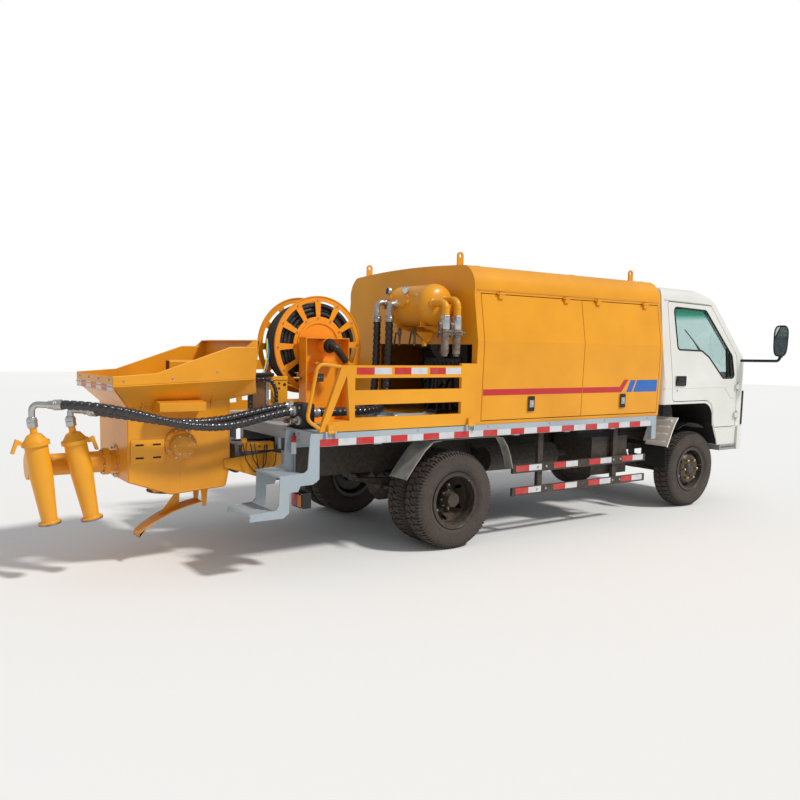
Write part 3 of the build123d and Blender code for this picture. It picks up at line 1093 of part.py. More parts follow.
# Elbows that lead from the spray converters' nuts to the two long hoses
ELBOWS = (
    # hose end, bend over the nut, nut
    ((-2862.0, -400.0, 1178.0), (-2985.0, CONE_Y, 1170.0), (-2985.0, CONE_Y, 1066.0)),
    ((-2650.0, -420.0, 1136.0), (-2746.0, CONE_Y, 1140.0), (-2746.0, CONE_Y, 1066.0)),
)
with BuildPart() as hose_fittings:
    block((ax(BLOCK_REAR), ax(BLOCK_FRONT)), (-740, -480), (DECK_TOP, 1165))
    for end, bend, nut in ELBOWS:
        pts = [(ax(p[0]), p[1], p[2]) for p in (end, bend, nut)]
        bent_tube(pts, [40], 20)
        along = Vector(*pts[1]) - Vector(*pts[0])
        turned(pts[0], (along.X, along.Y, along.Z), [(0, 0), (0, 30), (45, 30), (45, 0)])
    add(converter_cones.part, mode=Mode.SUBTRACT)
save(hose_fittings.part, "hose_fittings")


# The point a hose passes on its way into an elbow, straight behind the elbow's first run
def lead_in(elbow, run):
    end = Vector(*elbow[0])
    p = end + (end - Vector(*elbow[1])) * run
    return (p.X, p.Y, p.Z)


AIR_HOSES = (
    # name, radius, points from end to end
    ("converter hose 1", HOSE_R, [(BLOCK_REAR, -590, 1105), (BLOCK_REAR - 90, -590, 1105), (-1900, -592, 975),
                                  lead_in(ELBOWS[0], 1.85), ELBOWS[0][0]]),
    ("converter hose 2", HOSE_R, [(BLOCK_REAR, -530, 1140), (BLOCK_REAR - 90, -530, 1140), (-1960, -530, 1015),
                                  lead_in(ELBOWS[1], 0.85), ELBOWS[1][0]]),
    ("tank hose 1", 30.0, [(TANK_HOSE[0][0], TANK_HOSE[0][1], TANK_HOSE_END), (TANK_HOSE[0][0], TANK_HOSE[0][1], 1105),
                           (-560, -450, 1080), (BLOCK_FRONT + 110, -545, 1090), (BLOCK_FRONT, -545, 1090)]),
    ("tank hose 2", 30.0, [(TANK_HOSE[1][0], TANK_HOSE[1][1], TANK_HOSE_END), (TANK_HOSE[1][0], TANK_HOSE[1][1], 1130),
                           (-520, -590, 1085), (BLOCK_FRONT + 110, -660, 1095), (BLOCK_FRONT, -660, 1095)]),
)
with BuildPart() as air_hoses:
    for name, radius, points in AIR_HOSES:
        pts = [(ax(p[0]), p[1], p[2]) for p in points]
        bent_tube(pts, easy_radii(pts), radius)
save(air_hoses.part, "air_hoses")

# Folding side rails on the deck's edges, one a side
RAIL_T = 30.0
RAIL_PANEL = [(-1255, 986), (162, 986), (162, 1467), (8, 1467), (8, 1450), (-1075, 1450)]
RAIL_SLOTS = ([(-966, 1273), (10, 1273), (10, 1360), (-966, 1360)], [(-966, 1078), (10, 1078), (10, 1170), (-966, 1170)],
              [(-1036, 1378), (-1010, 1060), (-1178, 1056)])
for word, side in (("right", -1), ("left", 1)):
    ys = sorted((side * (DECK_HALF - RAIL_T), side * DECK_HALF))
    with BuildPart() as rail:
        side_plate([(ax(a), z) for a, z in RAIL_PANEL], ys)
        for hole in RAIL_SLOTS:
            side_plate([(ax(a), z) for a, z in hole], (ys[0] - 1, ys[1] + 1), mode=Mode.SUBTRACT)
        y = side * (DECK_HALF - RAIL_T / 2)
        loop = [(ax(-1050), y, 1436), (ax(-1262), y, 1462), (ax(-1345), y, 1075), (ax(-1225), y, 998)]
        bent_tube(loop, [60, 60], 13)
        for place in RAIL_HINGES:
            x = ax(place)
            block((x - 25, x + 25), sorted((side * (DECK_HALF - 10), side * (RAIL_PIN_Y + 8))), (988, 1040))
            rod((x - 25, side * RAIL_PIN_Y, RAIL_PIN_Z), (x + 25, side * RAIL_PIN_Y, RAIL_PIN_Z), 12)
            rod((x - 26, side * RAIL_PIN_Y, RAIL_PIN_Z), (x + 26, side * RAIL_PIN_Y, RAIL_PIN_Z), PIN_R + RUN_GAP,
                mode=Mode.SUBTRACT)
    save(rail.part, "side_rail_" + word)
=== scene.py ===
import math
import bmesh
import bpy
from mathutils import Matrix, Vector


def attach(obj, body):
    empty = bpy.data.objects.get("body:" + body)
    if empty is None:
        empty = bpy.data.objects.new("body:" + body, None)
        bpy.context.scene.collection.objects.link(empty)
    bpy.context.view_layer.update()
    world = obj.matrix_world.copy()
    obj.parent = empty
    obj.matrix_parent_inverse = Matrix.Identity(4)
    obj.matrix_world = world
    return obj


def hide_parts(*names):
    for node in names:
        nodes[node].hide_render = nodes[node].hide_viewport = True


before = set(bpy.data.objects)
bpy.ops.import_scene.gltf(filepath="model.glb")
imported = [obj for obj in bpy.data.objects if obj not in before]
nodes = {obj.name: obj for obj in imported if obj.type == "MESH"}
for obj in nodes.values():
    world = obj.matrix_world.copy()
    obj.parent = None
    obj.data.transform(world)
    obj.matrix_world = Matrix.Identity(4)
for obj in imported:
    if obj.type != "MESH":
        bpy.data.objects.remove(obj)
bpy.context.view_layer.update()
scene = bpy.context.scene
scene.view_settings.view_transform = "Standard"

# Camera: where the photographer stood, behind the truck and to its right at chest
# height. Its place, heading, tilt and the picture's middle come from fitting
# measured points; the place counts from the rear axle, at X = -0.576 m.
camera_data = bpy.data.cameras.new("camera")
camera = bpy.data.objects.new("camera", camera_data)
scene.collection.objects.link(camera)
scene.camera = camera
camera_data.sensor_fit = "HORIZONTAL"
camera_data.sensor_width = 36.0
camera_data.lens = 36.0 * 769.43 / 800
camera_data.shift_x = (400 - 365.2) / 800
camera_data.shift_y = (426.6 - 400) / 800
camera_data.clip_end = 200.0
heading, tilt, lean = 0.98944, 0.10116, -0.01722
ahead = Vector((math.cos(tilt) * math.cos(heading), math.cos(tilt) * math.sin(heading), -math.sin(tilt)))
level = Vector((math.sin(heading), -math.cos(heading), 0.0))
down = ahead.cross(level)
right = level * math.cos(lean) + down * math.sin(lean)
under = -level * math.sin(lean) + down * math.cos(lean)
turn = Matrix((right, -under, -ahead)).transposed().to_4x4()
rear_axle = -0.576
camera.matrix_world = Matrix.Translation((rear_axle - 3.8871, -5.5609, 1.5694)) @ turn

# Studio: a pale floor, a white surround seen by the camera and in reflections, one broad sun and
# sky light. The levels add up to about one, so that a colour renders about as it is written.
def linear(hex_colour):
    """A linear colour from an sRGB hex value."""
    channels = [int(hex_colour[i:i + 2], 16) / 255 for i in (1, 3, 5)]
    return tuple(c / 12.92 if c <= 0.04045 else ((c + 0.055) / 1.055) ** 2.4 for c in channels) + (1.0,)


def add(tree, kind, links=(), ramp=None, **settings):
    """Adds one node; links pairs an input socket with a node, one of its outputs or a value."""
    node = tree.nodes.new("ShaderNode" + kind)
    for key, value in settings.items():
        setattr(node, key, value)
    for socket, value in dict(links).items():
        if isinstance(value, bpy.types.Node):
            value = next(output for output in value.outputs if output.enabled)
        if isinstance(value, bpy.types.NodeSocket):
            tree.links.new(value, node.inputs[socket])
        else:
            node.inputs[socket].default_value = value
    if ramp:
        points = node.color_ramp.elements
        while len(points) < len(ramp):
            points.new(0.5)
        for point, (place, colour) in zip(points, ramp):
            point.position = place
            point.color = linear(colour) if isinstance(colour, str) else (colour, colour, colour, 1)
    return node


def blank(name):
    """A new material and its empty node tree."""
    material = bpy.data.materials.new(name)
    material.use_nodes = True
    material.node_tree.nodes.clear()
    return material, material.node_tree


world = bpy.data.worlds.new("studio")
scene.world = world
world.use_nodes = True
tree = world.node_tree
tree.nodes.clear()
path = add(tree, "LightPath")
seen = add(tree, "Math", {0: path.outputs["Is Camera Ray"], 1: path.outputs["Is Transmission Ray"]},
           operation="MAXIMUM")
sky = add(tree, "Background", {"Color": (0.93, 0.96, 1.0, 1), "Strength": 0.50})
mirror_sky = add(tree, "Background", {"Color": (1, 1, 1, 1), "Strength": 0.42})
white = add(tree, "Background", {"Color": (1, 1, 1, 1), "Strength": 1.0})
glossy = add(tree, "MixShader", {0: path.outputs["Is Glossy Ray"], 1: sky, 2: mirror_sky})
both = add(tree, "MixShader", {0: seen, 1: glossy, 2: white})
add(tree, "OutputWorld", {"Surface": both})

sun_data = bpy.data.lights.new("sun", "SUN")
sun_data.energy = 2.35
sun_data.angle = 0.12
sun_data.color = (1.0, 0.97, 0.92)
sun = bpy.data.objects.new("sun", sun_data)
sun.rotation_euler = Vector((0.6, -0.95, 1.3)).to_track_quat("Z", "Y").to_euler()
scene.collection.objects.link(sun)

floor_mesh = bpy.data.meshes.new("floor")
shape = bmesh.new()
bmesh.ops.create_circle(shape, cap_ends=True, segments=96, radius=40)
shape.to_mesh(floor_mesh)
floor = bpy.data.objects.new("floor", floor_mesh)
scene.collection.objects.link(floor)
paving, tree = blank("pale studio floor")
grain = add(tree, "TexNoise", {"Scale": 3.0, "Detail": 6.0})
tone = add(tree, "ValToRGB", {0: grain}, ramp=[(0.3, "#EDEDEC"), (0.7, "#F4F4F3")])
matt = add(tree, "BsdfDiffuse", {"Color": tone})
add(tree, "OutputMaterial", {"Surface": matt})
floor_mesh.materials.append(paving)
floor.location.z = -0.002

# Tyres: 7.00-16 cross-ply truck tyres, black rubber browned by site dust,
# moulded with a ribbed shoulder and zigzag blocks. The carcass is turned and
# each tread block stands on it; they replace the plain solid rings.
class Piece:
    """One piece under construction: parts are added to its mesh and done() hands it over to the frame.

    Its places are metres ahead of the rear axle, left of the middle and above the ground.
    """

    def __init__(self):
        self.mesh = bmesh.new()

    def take(self, other, slot=0):
        """Adds another mesh, with its faces in one material slot."""
        for face in other.faces:
            face.material_index = slot
        temp = bpy.data.meshes.new("part")
        other.to_mesh(temp)
        other.free()
        self.mesh.from_mesh(temp)
        bpy.data.meshes.remove(temp)

    def bar(self, low, high, edge=0.003, slot=0, steps=1):
        """A block between two corners, its edges broken."""
        b = bmesh.new()
        low, high = Vector(low), Vector(high)
        bmesh.ops.create_cube(b, size=1.0)
        bmesh.ops.scale(b, verts=b.verts, vec=[abs(c) for c in (high - low)])
        if edge > 0:
            bmesh.ops.bevel(b, geom=b.edges[:], offset=edge, segments=steps, affect="EDGES", profile=0.5)
        bmesh.ops.translate(b, verts=b.verts, vec=(low + high) / 2)
        self.take(b, slot)

    def plate(self, outline, low, high, axis="Y", edge=0.0015, slot=0):
        """A flat plate cut to an outline in the two axes left over, from low to high along axis."""
        b = bmesh.new()
        lift = {"Y": lambda p: Vector((p[0], low, p[1])), "X": lambda p: Vector((low, p[0], p[1])),
                "Z": lambda p: Vector((p[0], p[1], low))}[axis]
        face = b.faces.new([b.verts.new(lift(p)) for p in outline])
        way = {"X": Vector((1, 0, 0)), "Y": Vector((0, 1, 0)), "Z": Vector((0, 0, 1))}[axis]
        out = bmesh.ops.extrude_face_region(b, geom=[face])
        moved = [v for v in out["geom"] if isinstance(v, bmesh.types.BMVert)]
        bmesh.ops.translate(b, verts=moved, vec=way * (high - low))
        bmesh.ops.recalc_face_normals(b, faces=b.faces[:])
        if edge > 0:
            rims = [e for e in b.edges if abs((e.verts[0].co - e.verts[1].co).normalized().dot(way)) < 0.5]
            bmesh.ops.bevel(b, geom=rims, offset=edge, segments=1, affect="EDGES")
        self.take(b, slot)

    def lathe(self, start, along, section, turns=32, slot=0):
        """A turned part: section pairs are (along, radius)."""
        b = bmesh.new()
        d = Vector(along).normalized()
        u = d.orthogonal().normalized()
        v = d.cross(u)
        rings = []
        for n in range(turns):
            a = 2 * math.pi * n / turns
            out = u * math.cos(a) + v * math.sin(a)
            rings.append([b.verts.new(Vector(start) + d * s + out * max(r, 0.00005)) for s, r in section])
        for n in range(turns):
            one, two = rings[n], rings[(n + 1) % turns]
            for i in range(len(section) - 1):
                b.faces.new((one[i], one[i + 1], two[i + 1], two[i]))
        bmesh.ops.recalc_face_normals(b, faces=b.faces[:])
        self.take(b, slot)

    def rod(self, start, end, radius, turns=16, slot=0, chamfer=0.0):
        """A round bar from start to end."""
        d = Vector(end) - Vector(start)
        h = d.length
        c = min(chamfer, radius * 0.4, h * 0.3)
        self.lathe(start, d, [(0, 0), (0, radius - c), (c, radius), (h - c, radius), (h, radius - c),
                              (h, 0)], turns, slot)

    def tube(self, points, radius, turns=12, slot=0, wave=None, closed=False):
        """A round bar that follows points; wave gives a radius for the distance and angle along it."""
        b = bmesh.new()
        pts = [Vector(p) for p in points]
        last = None
        rings = []
        travelled = 0.0
        for n, p in enumerate(pts):
            before = pts[n - 1] if (n > 0 or closed) else p
            after = pts[(n + 1) % len(pts)] if (n < len(pts) - 1 or closed) else p
            d = (after - before).normalized()
            u = d.orthogonal().normalized() if last is None else (last - d * last.dot(d)).normalized()
            last = u
            v = d.cross(u)
            if n > 0:
                travelled += (p - pts[n - 1]).length
            ring = []
            for k in range(turns):
                a = 2 * math.pi * k / turns
                r = wave(travelled, a) if wave else radius
                ring.append(b.verts.new(p + (u * math.cos(a) + v * math.sin(a)) * r))
            rings.append(ring)
        spans = len(rings) if closed else len(rings) - 1
        for n in range(spans):
            one, two = rings[n], rings[(n + 1) % len(rings)]
            for k in range(turns):
                b.faces.new((one[k], one[(k + 1) % turns], two[(k + 1) % turns], two[k]))
        if not closed:
            b.faces.new(rings[0][::-1])
            b.faces.new(rings[-1])
        bmesh.ops.recalc_face_normals(b, faces=b.faces[:])
        self.take(b, slot)

    def nut(self, start, along, size=0.012, height=0.010, slot=0):
        """A hexagon head with its washer."""
        self.lathe(start, along, [(0, 0), (0, size * 1.25), (0.002, size * 1.25), (0.002, size)], 14, slot)
        self.lathe(start, along, [(0.002, size), (height - 0.001, size), (height, size * 0.85),
                                  (height, 0)], 6, slot)

    def nut_ring(self, centre, along, radius, count, size, height, slot=0, start=0.0):
        """Nuts evenly on a circle round an axis along X or Y."""
        across = Vector((0, 1, 0)) if Vector(along).x else Vector((1, 0, 0))
        for n in range(count):
            a = 2 * math.pi * (n + start) / count
            way = across * math.cos(a) + Vector((0, 0, math.sin(a)))
            self.nut(Vector(centre) + way * radius, along, size, height, slot)

    def done(self, name, body, *materials, slot, smooth=35, replaces=()):
        """Makes the object, moves it to the shared frame and ties it to a body."""
        bmesh.ops.translate(self.mesh, verts=self.mesh.verts, vec=(rear_axle, 0, 0))
        mesh = bpy.data.meshes.new(name)
        self.mesh.to_mesh(mesh)
        self.mesh.free()
        for m in materials:
            mesh.materials.append(m)
        mesh.shade_smooth()
        mesh.set_sharp_from_angle(angle=math.radians(smooth))
        piece = bpy.data.objects.new(name, mesh)
        scene.collection.objects.link(piece)
        if replaces:
            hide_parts(*replaces)
        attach(piece, body)
        return piece


def grained(name, tones, rough, grain, relief, metal=0.0, **shader):
    """A surface whose colour and gloss wander between tones, with a fine relief.

    Castings, plating, plastic and rubber differ in the tones, the gloss and the size of the grain.
    """
    material, tree = blank(name)
    where = add(tree, "TexCoord").outputs["Object"]
    broad = add(tree, "TexNoise", {"Vector": where, "Scale": 5.0, "Detail": 6.0, "Roughness": 0.65})
    fine = add(tree, "TexNoise", {"Vector": where, "Scale": grain, "Detail": 5.0})
    mixed = add(tree, "Math", {0: broad, 1: fine}, operation="ADD")
    half = add(tree, "Math", {0: mixed, 1: 0.5}, operation="MULTIPLY")
    tone = add(tree, "ValToRGB", {0: half}, ramp=[(0.35 + 0.3 * i / max(1, len(tones) - 1), t)
                                                  for i, t in enumerate(tones)])
    gloss = add(tree, "MapRange", {"Value": half, "From Min": 0.35, "From Max": 0.65, "To Min": rough[0],
                                   "To Max": rough[1]})
    rounded = add(tree, "Bevel", {"Radius": 0.002}, samples=2)
    bump = add(tree, "Bump", {"Height": fine, "Strength": relief, "Distance": 0.003, "Normal": rounded})
    links = {"Base Color": tone, "Roughness": gloss, "Metallic": metal, "Normal": bump}
    links.update({key.replace("_", " "): value for key, value in shader.items()})
    skin = add(tree, "BsdfPrincipled", links)
    add(tree, "OutputMaterial", {"Surface": skin})
    return material


rubber = grained("site-dusted tyre rubber", ["#38312D", "#453D38", "#51473F"], (0.7, 0.9), 40.0, 0.08)
tyre_radius = 0.3875
wheelbase = 3.262
front_middle, rear_middles = 0.735, (0.877, 0.642)
blocks = 44


def tread_height(y):
    """Distance of the tread's surface from the axle, at a distance from the tyre's middle."""
    y = abs(y)
    if y < 0.066:
        return tyre_radius - 0.6 * y * y
    if y < 0.086:
        return tyre_radius - 0.0026 - (y - 0.066) * 0.55
    return tyre_radius - 0.0136 - (y - 0.086) * 2.6


def tyre(piece, x, middle):
    """One tyre: the turned carcass, its sidewall rings, two rows of blocks and the shoulder lugs."""
    half = [(0.075, 0.2063), (0.0785, 0.218), (0.079, 0.228), (0.088, 0.236), (0.0955, 0.252),
            (0.0985, 0.27), (0.0997, 0.29), (0.0992, 0.31), (0.0972, 0.33), (0.0945, 0.345),
            (0.0895, 0.358), (0.079, 0.3665), (0.06, 0.3715), (0.03, 0.3735)]
    section = half + [(0.0, 0.374)] + [(-y, r) for y, r in half[::-1]]
    hub = Vector((x, middle, tyre_radius))
    piece.lathe(hub, (0, 1, 0), section, turns=96)
    # a moulded ring on the sidewall and the bead's seating line
    for ring, width in ((0.335, 0.0013), (0.262, 0.0016)):
        for way in (-1, 1):
            out = (0.0971 if ring > 0.3 else 0.0972) * way
            piece.lathe(hub, (0, 1, 0), [(out, ring - 0.004), (out + way * width, ring - 0.002),
                                         (out + way * width, ring + 0.002), (out, ring + 0.004)], turns=96)
    pitch = 2 * math.pi / blocks
    b = bmesh.new()
    for low, high, start, bend in ((-0.064, -0.004, 0.0, 0.2), (0.004, 0.064, 0.5, -0.2)):
        for n in range(blocks):
            outline = [(0.05, low), (0.78, low), (0.78 + bend, (low + high) / 2), (0.78, high),
                       (0.05, high), (0.05 + bend, (low + high) / 2)]
            rings = []
            for shrink, level in ((0.0, -0.02), (0.0, -0.002), (0.05, 0.0)):
                ring = []
                for t, y in outline:
                    a = (n + start + t + (0.5 - t) * shrink) * pitch
                    inset = y + ((low + high) / 2 - y) * shrink
                    r = tread_height(inset) + level
                    ring.append(b.verts.new(hub + Vector((r * math.cos(a), inset, r * math.sin(a)))))
                rings.append(ring)
            for one, two in zip(rings, rings[1:]):
                for k in range(6):
                    b.faces.new((one[k], one[(k + 1) % 6], two[(k + 1) % 6], two[k]))
            b.faces.new(rings[-1])
    # shoulder lugs run down over the tyre's shoulder
    for way in (-1, 1):
        stations = (0.066, 0.077, 0.0865, 0.0925, 0.0965)
        for n in range(2 * blocks):
            a0, a1 = (n + 0.10) * pitch / 2, (n + 0.72) * pitch / 2
            rings = []
            for y in stations:
                r = tread_height(y) - (0.0 if y < 0.09 else 0.0015)
                deep = r - (0.022 if y < 0.09 else 0.006)
                ring = [b.verts.new(hub + Vector((q * math.cos(a), way * y, q * math.sin(a))))
                        for q, a in ((deep, a0), (r, a0 + 0.06 * pitch), (r, a1 - 0.06 * pitch),
                                     (deep, a1))]
                rings.append(ring)
            for one, two in zip(rings, rings[1:]):
                for k in range(3):
                    b.faces.new((one[k], one[k + 1], two[k + 1], two[k]))
            b.faces.new(rings[0])
            b.faces.new(rings[-1])
    bmesh.ops.recalc_face_normals(b, faces=b.faces[:])
    piece.take(b)


for side, word in ((1, "left"), (-1, "right")):
    piece = Piece()
    tyre(piece, wheelbase, side * front_middle)
    piece.done("front_tyre_tread_" + word, "front_wheel_" + word, rubber, replaces=["front_tyre_" + word],
               slot="tyre")
    piece = Piece()
    for middle in rear_middles:
        tyre(piece, 0.0, side * middle)
    piece.done("rear_tyre_treads_" + word, "rear_wheels_" + word, rubber, replaces=["rear_tyres_" + word],
               slot="tyre")

# Wheel rims: pressed steel discs in black enamel with oval hand holes, held by brass-coloured hexagon
# nuts. The rims are the CAD's own; nuts, studs, lock ring, valve and hub bolts are set on them.
def enamel(name, colour, shade, dust=0.25, chips=0.5, rough=0.34, chip_colour="#5A3A22"):
    """Sprayed enamel on steel: a smooth coat with faint orange peel and a little fading.

    Road dust settles on upward faces and low down, and small chips show primer or rust.
    """
    material, tree = blank(name)
    where = add(tree, "TexCoord").outputs["Object"]
    broad = add(tree, "TexNoise", {"Vector": where, "Scale": 1.7, "Detail": 4.0, "Roughness": 0.55})
    fade = add(tree, "ValToRGB", {0: broad}, ramp=[(0.32, shade), (0.62, colour)])
    fine = add(tree, "TexNoise", {"Vector": where, "Scale": 26.0, "Detail": 8.0, "Roughness": 0.7})
    axes = add(tree, "SeparateXYZ", {0: where})
    low = add(tree, "MapRange", {"Value": axes.outputs["Z"], "From Min": 1.1, "From Max": 0.25,
                                 "To Min": 0.15, "To Max": 0.9})
    facing = add(tree, "SeparateXYZ", {0: add(tree, "TexCoord").outputs["Normal"]})
    upward = add(tree, "MapRange", {"Value": facing.outputs["Z"], "From Min": 0.5, "From Max": 1.0,
                                    "To Min": 0.0, "To Max": 0.55})
    settle = add(tree, "Math", {0: low, 1: upward}, operation="ADD")
    patch = add(tree, "MapRange", {"Value": fine, "From Min": 0.35, "From Max": 0.7, "To Min": 0.25,
                                   "To Max": 1.0})
    amount = add(tree, "Math", {0: settle, 1: patch}, operation="MULTIPLY")
    share = add(tree, "Math", {0: amount, 1: dust}, operation="MULTIPLY", use_clamp=True)
    dusty = add(tree, "Mix", {"Factor": share, "A": fade, "B": linear("#8C7B66")}, data_type="RGBA")
    specks = add(tree, "TexNoise", {"Vector": where, "Scale": 60.0, "Detail": 3.0, "Roughness": 0.6})
    area = add(tree, "MapRange", {"Value": broad, "From Min": 0.45, "From Max": 0.7, "To Min": 0.0,
                                  "To Max": 0.06 * chips})
    reach = add(tree, "Math", {0: specks, 1: area}, operation="ADD")
    chipped = add(tree, "MapRange", {"Value": reach, "From Min": 0.76, "From Max": 0.775})
    worn = add(tree, "Mix", {"Factor": chipped, "A": dusty, "B": linear(chip_colour)}, data_type="RGBA")
    dull = add(tree, "MapRange", {"Value": share, "To Min": rough, "To Max": 0.85})
    rounded = add(tree, "Bevel", {"Radius": 0.003}, samples=3)
    peel = add(tree, "TexNoise", {"Vector": where, "Scale": 130.0, "Detail": 2.0})
    bump = add(tree, "Bump", {"Height": peel, "Strength": 0.06, "Distance": 0.002, "Normal": rounded})
    coat = add(tree, "BsdfPrincipled", {"Base Color": worn, "Roughness": dull, "Normal": bump, "IOR": 1.4,
                                        "Coat Weight": 0.12, "Coat Roughness": 0.12})
    add(tree, "OutputMaterial", {"Surface": coat})
    return material


def dress(material, *names):
    """Gives carried-over CAD pieces their finish."""
    for name in names:
        mesh = nodes[name].data
        mesh.materials.clear()
        mesh.materials.append(material)
        for face in mesh.polygons:
            face.material_index = 0


def wheel_nuts(piece, centre, out, circle, size, height, stud, stud_radius):
    """Six nuts on their circle, each with the stud's end standing out of it."""
    for n in range(6):
        a = 2 * math.pi * n / 6
        foot = centre + Vector((circle * math.cos(a), 0, circle * math.sin(a)))
        piece.nut(foot, out, size, height)
        piece.rod(foot, foot + out * stud, stud_radius, 12, slot=1, chamfer=0.002)


rim_black = enamel("black wheel enamel", "#1E1C1B", "#161514", dust=0.35, chips=0.9, rough=0.3)
galvanised = grained("zinc-plated steel", ["#A9ABAC", "#BDBFC0", "#CDCECD"], (0.26, 0.38), 30.0, 0.03,
                     metal=0.8)
brass = grained("brass nut, dulled", ["#8B6A35", "#C49A55"], (0.3, 0.5), 120.0, 0.2, metal=0.85)
rim_edge = [(0.0865, 0.214), (0.0905, 0.2165), (0.0925, 0.221), (0.0915, 0.2265), (0.088, 0.227)]
dress(rim_black, "front_rim_left", "front_rim_right", "rear_rims_left", "rear_rims_right")
for side, word in ((1, "left"), (-1, "right")):
    out = Vector((0, side, 0))
    piece = Piece()
    wheel_nuts(piece, Vector((wheelbase, side * 0.804, tyre_radius)), out, 0.102, 0.0175, 0.026, 0.034,
               0.0085)
    piece.nut_ring((wheelbase, side * 0.812, tyre_radius), out, 0.05, 8, 0.006, 0.008, slot=1, start=0.5)
    valve = Vector((wheelbase + 0.178, side * 0.80, tyre_radius + 0.03))
    piece.rod(valve - out * 0.03, valve + out * 0.02, 0.004, 10, slot=1)
    piece.lathe(Vector((wheelbase, side * front_middle, tyre_radius)), out, rim_edge, turns=64, slot=2)
    piece.done("front_wheel_nuts_" + word, "front_wheel_" + word, brass, galvanised, rim_black,
               slot="rim_black")
    piece = Piece()
    wheel_nuts(piece, Vector((0, side * 0.769, tyre_radius)), out, 0.115, 0.02, 0.03, 0.04, 0.010)
    piece.nut_ring((0, side * 0.868, tyre_radius), out, 0.064, 8, 0.009, 0.012, slot=1)
    hub = Vector((0, side * rear_middles[0], tyre_radius))
    piece.lathe(hub, out, [(-0.010, 0.048), (0.006, 0.048), (0.010, 0.045), (0.030, 0.043), (0.034, 0.038)],
                40, slot=2)
    piece.lathe(hub, out, rim_edge, 64, slot=2)
    piece.rod(hub + Vector((0.12, side * 0.07, 0.16)), hub + Vector((0.12, side * 0.098, 0.155)), 0.004, 10,
              slot=1)
    piece.done("rear_wheel_nuts_" + word, "rear_wheels_" + word, brass, galvanised, rim_black,
               slot="rim_black")

# Chassis: pressed channel rails, axles, tanks and leaf springs in black chassis
# paint, browned by road dust, with a cast engine. They are the CAD's own;
# spring leaves, clips, brake chambers and dampers are set on them.
def curved(points, radii, step=0.02):
    """Points along straight runs joined by round bends."""
    pts = [Vector(p) for p in points]
    out = [pts[0]]
    for n in range(1, len(pts) - 1):
        a, b, c = pts[n - 1], pts[n], pts[n + 1]
        u, v = (a - b).normalized(), (c - b).normalized()
        half = u.angle(v) / 2
        r = radii[n - 1] if isinstance(radii, (list, tuple)) else radii
        reach = min(r / math.tan(half), 0.49 * (a - b).length, 0.49 * (c - b).length)
        r = reach * math.tan(half)
        middle = b + (u + v).normalized() * (r / math.sin(half))
        s, e = b + u * reach - middle, b + v * reach - middle
        sweep = s.angle(e)
        count = max(3, int(r * sweep / step) + 1)
        for k in range(count + 1):
            t = k / count
            out.append(middle + (s * math.sin((1 - t) * sweep) + e * math.sin(t * sweep)) / math.sin(sweep))
    out.append(pts[-1])
    return out


chassis_black = enamel("black chassis paint", "#1A1A1B", "#121213", dust=0.5, rough=0.55)
casting = grained("sand-cast iron, grey primer", ["#4E4F50", "#6A6B6C"], (0.6, 0.8), 160.0, 0.4)
dress(chassis_black, "chassis_frame", "rear_axle", "front_axle", "knuckle_left", "knuckle_right",
      "silencer", "battery_box", "fuel_tank", "leaf_springs")
dress(casting, "truck_engine", "pump_cylinders")
spring_y = 0.36
piece = Piece()
for side in (-1, 1):
    # leaf packs under the springs, with their U-bolts and clips
    for centre, half, pad, high in ((0, 0.59, 0.4495, 0.53), (wheelbase, 0.54, 0.40, 0.52)):
        for n in range(4):
            reach = half * (0.92 - 0.17 * n)
            run = [(centre + reach * t,
                    pad - 0.0095 * (n + 1) + (high - pad - 0.014) * (reach * t / half) ** 2)
                   for t in (-1, -0.66, -0.33, 0, 0.33, 0.66, 1)]
            outline = run + [(x, z + 0.0085) for x, z in run[::-1]]
            piece.plate(outline, side * spring_y - 0.031, side * spring_y + 0.031)
        for way in (-1, 1):
            for y in (-0.041, 0.041):
                x = centre + way * 0.055
                piece.rod((x, side * spring_y + y, pad - 0.075), (x, side * spring_y + y, pad + 0.07),
                          0.008, 10)
                piece.nut((x, side * spring_y + y, pad - 0.055), (0, 0, -1), 0.012, 0.014)
            piece.bar((centre + way * 0.32 - 0.02, side * spring_y - 0.038, pad - 0.03),
                      (centre + way * 0.32 + 0.02, side * spring_y + 0.038, pad + 0.045), 0.004)
        piece.bar((centre - 0.085, side * spring_y - 0.055, pad - 0.062),
                  (centre + 0.085, side * spring_y + 0.055, pad - 0.046), 0.004)
piece.done("spring_leaves", "truck", chassis_black, slot="chassis_black")
piece = Piece()
for side in (-1, 1):
    # brake chambers, shock absorbers and brake hoses
    for x, y, z in ((-0.17, 0.3, 0.47), (wheelbase - 0.16, 0.28, 0.43)):
        way = Vector((-1, 0, 0))
        piece.lathe((x, side * y, z), way,
                    [(0, 0), (0, 0.055), (0.012, 0.066), (0.04, 0.066), (0.046, 0.074), (0.056, 0.074),
                     (0.062, 0.066), (0.088, 0.06), (0.098, 0.035), (0.098, 0)], 28)
        piece.tube(curved([(x - 0.1, side * y, z), (x - 0.15, side * y, z + 0.02),
                           (x - 0.16, side * 0.24, 0.57)], 0.03), 0.008, 8)
    for x in (0.33, 2.98):
        piece.rod((x, side * 0.30, 0.40), (x, side * 0.30, 0.52), 0.026, 20, chamfer=0.004)
        piece.rod((x, side * 0.30, 0.50), (x, side * 0.30, 0.64), 0.033, 20, chamfer=0.004)
piece.nut_ring((0.11, 0, tyre_radius), (1, 0, 0), 0.118, 10, 0.009, 0.012)
piece.nut_ring((-0.135, 0, tyre_radius), (-1, 0, 0), 0.085, 10, 0.009, 0.012)
piece.done("axle_details", "truck", casting, slot="cast_grey")

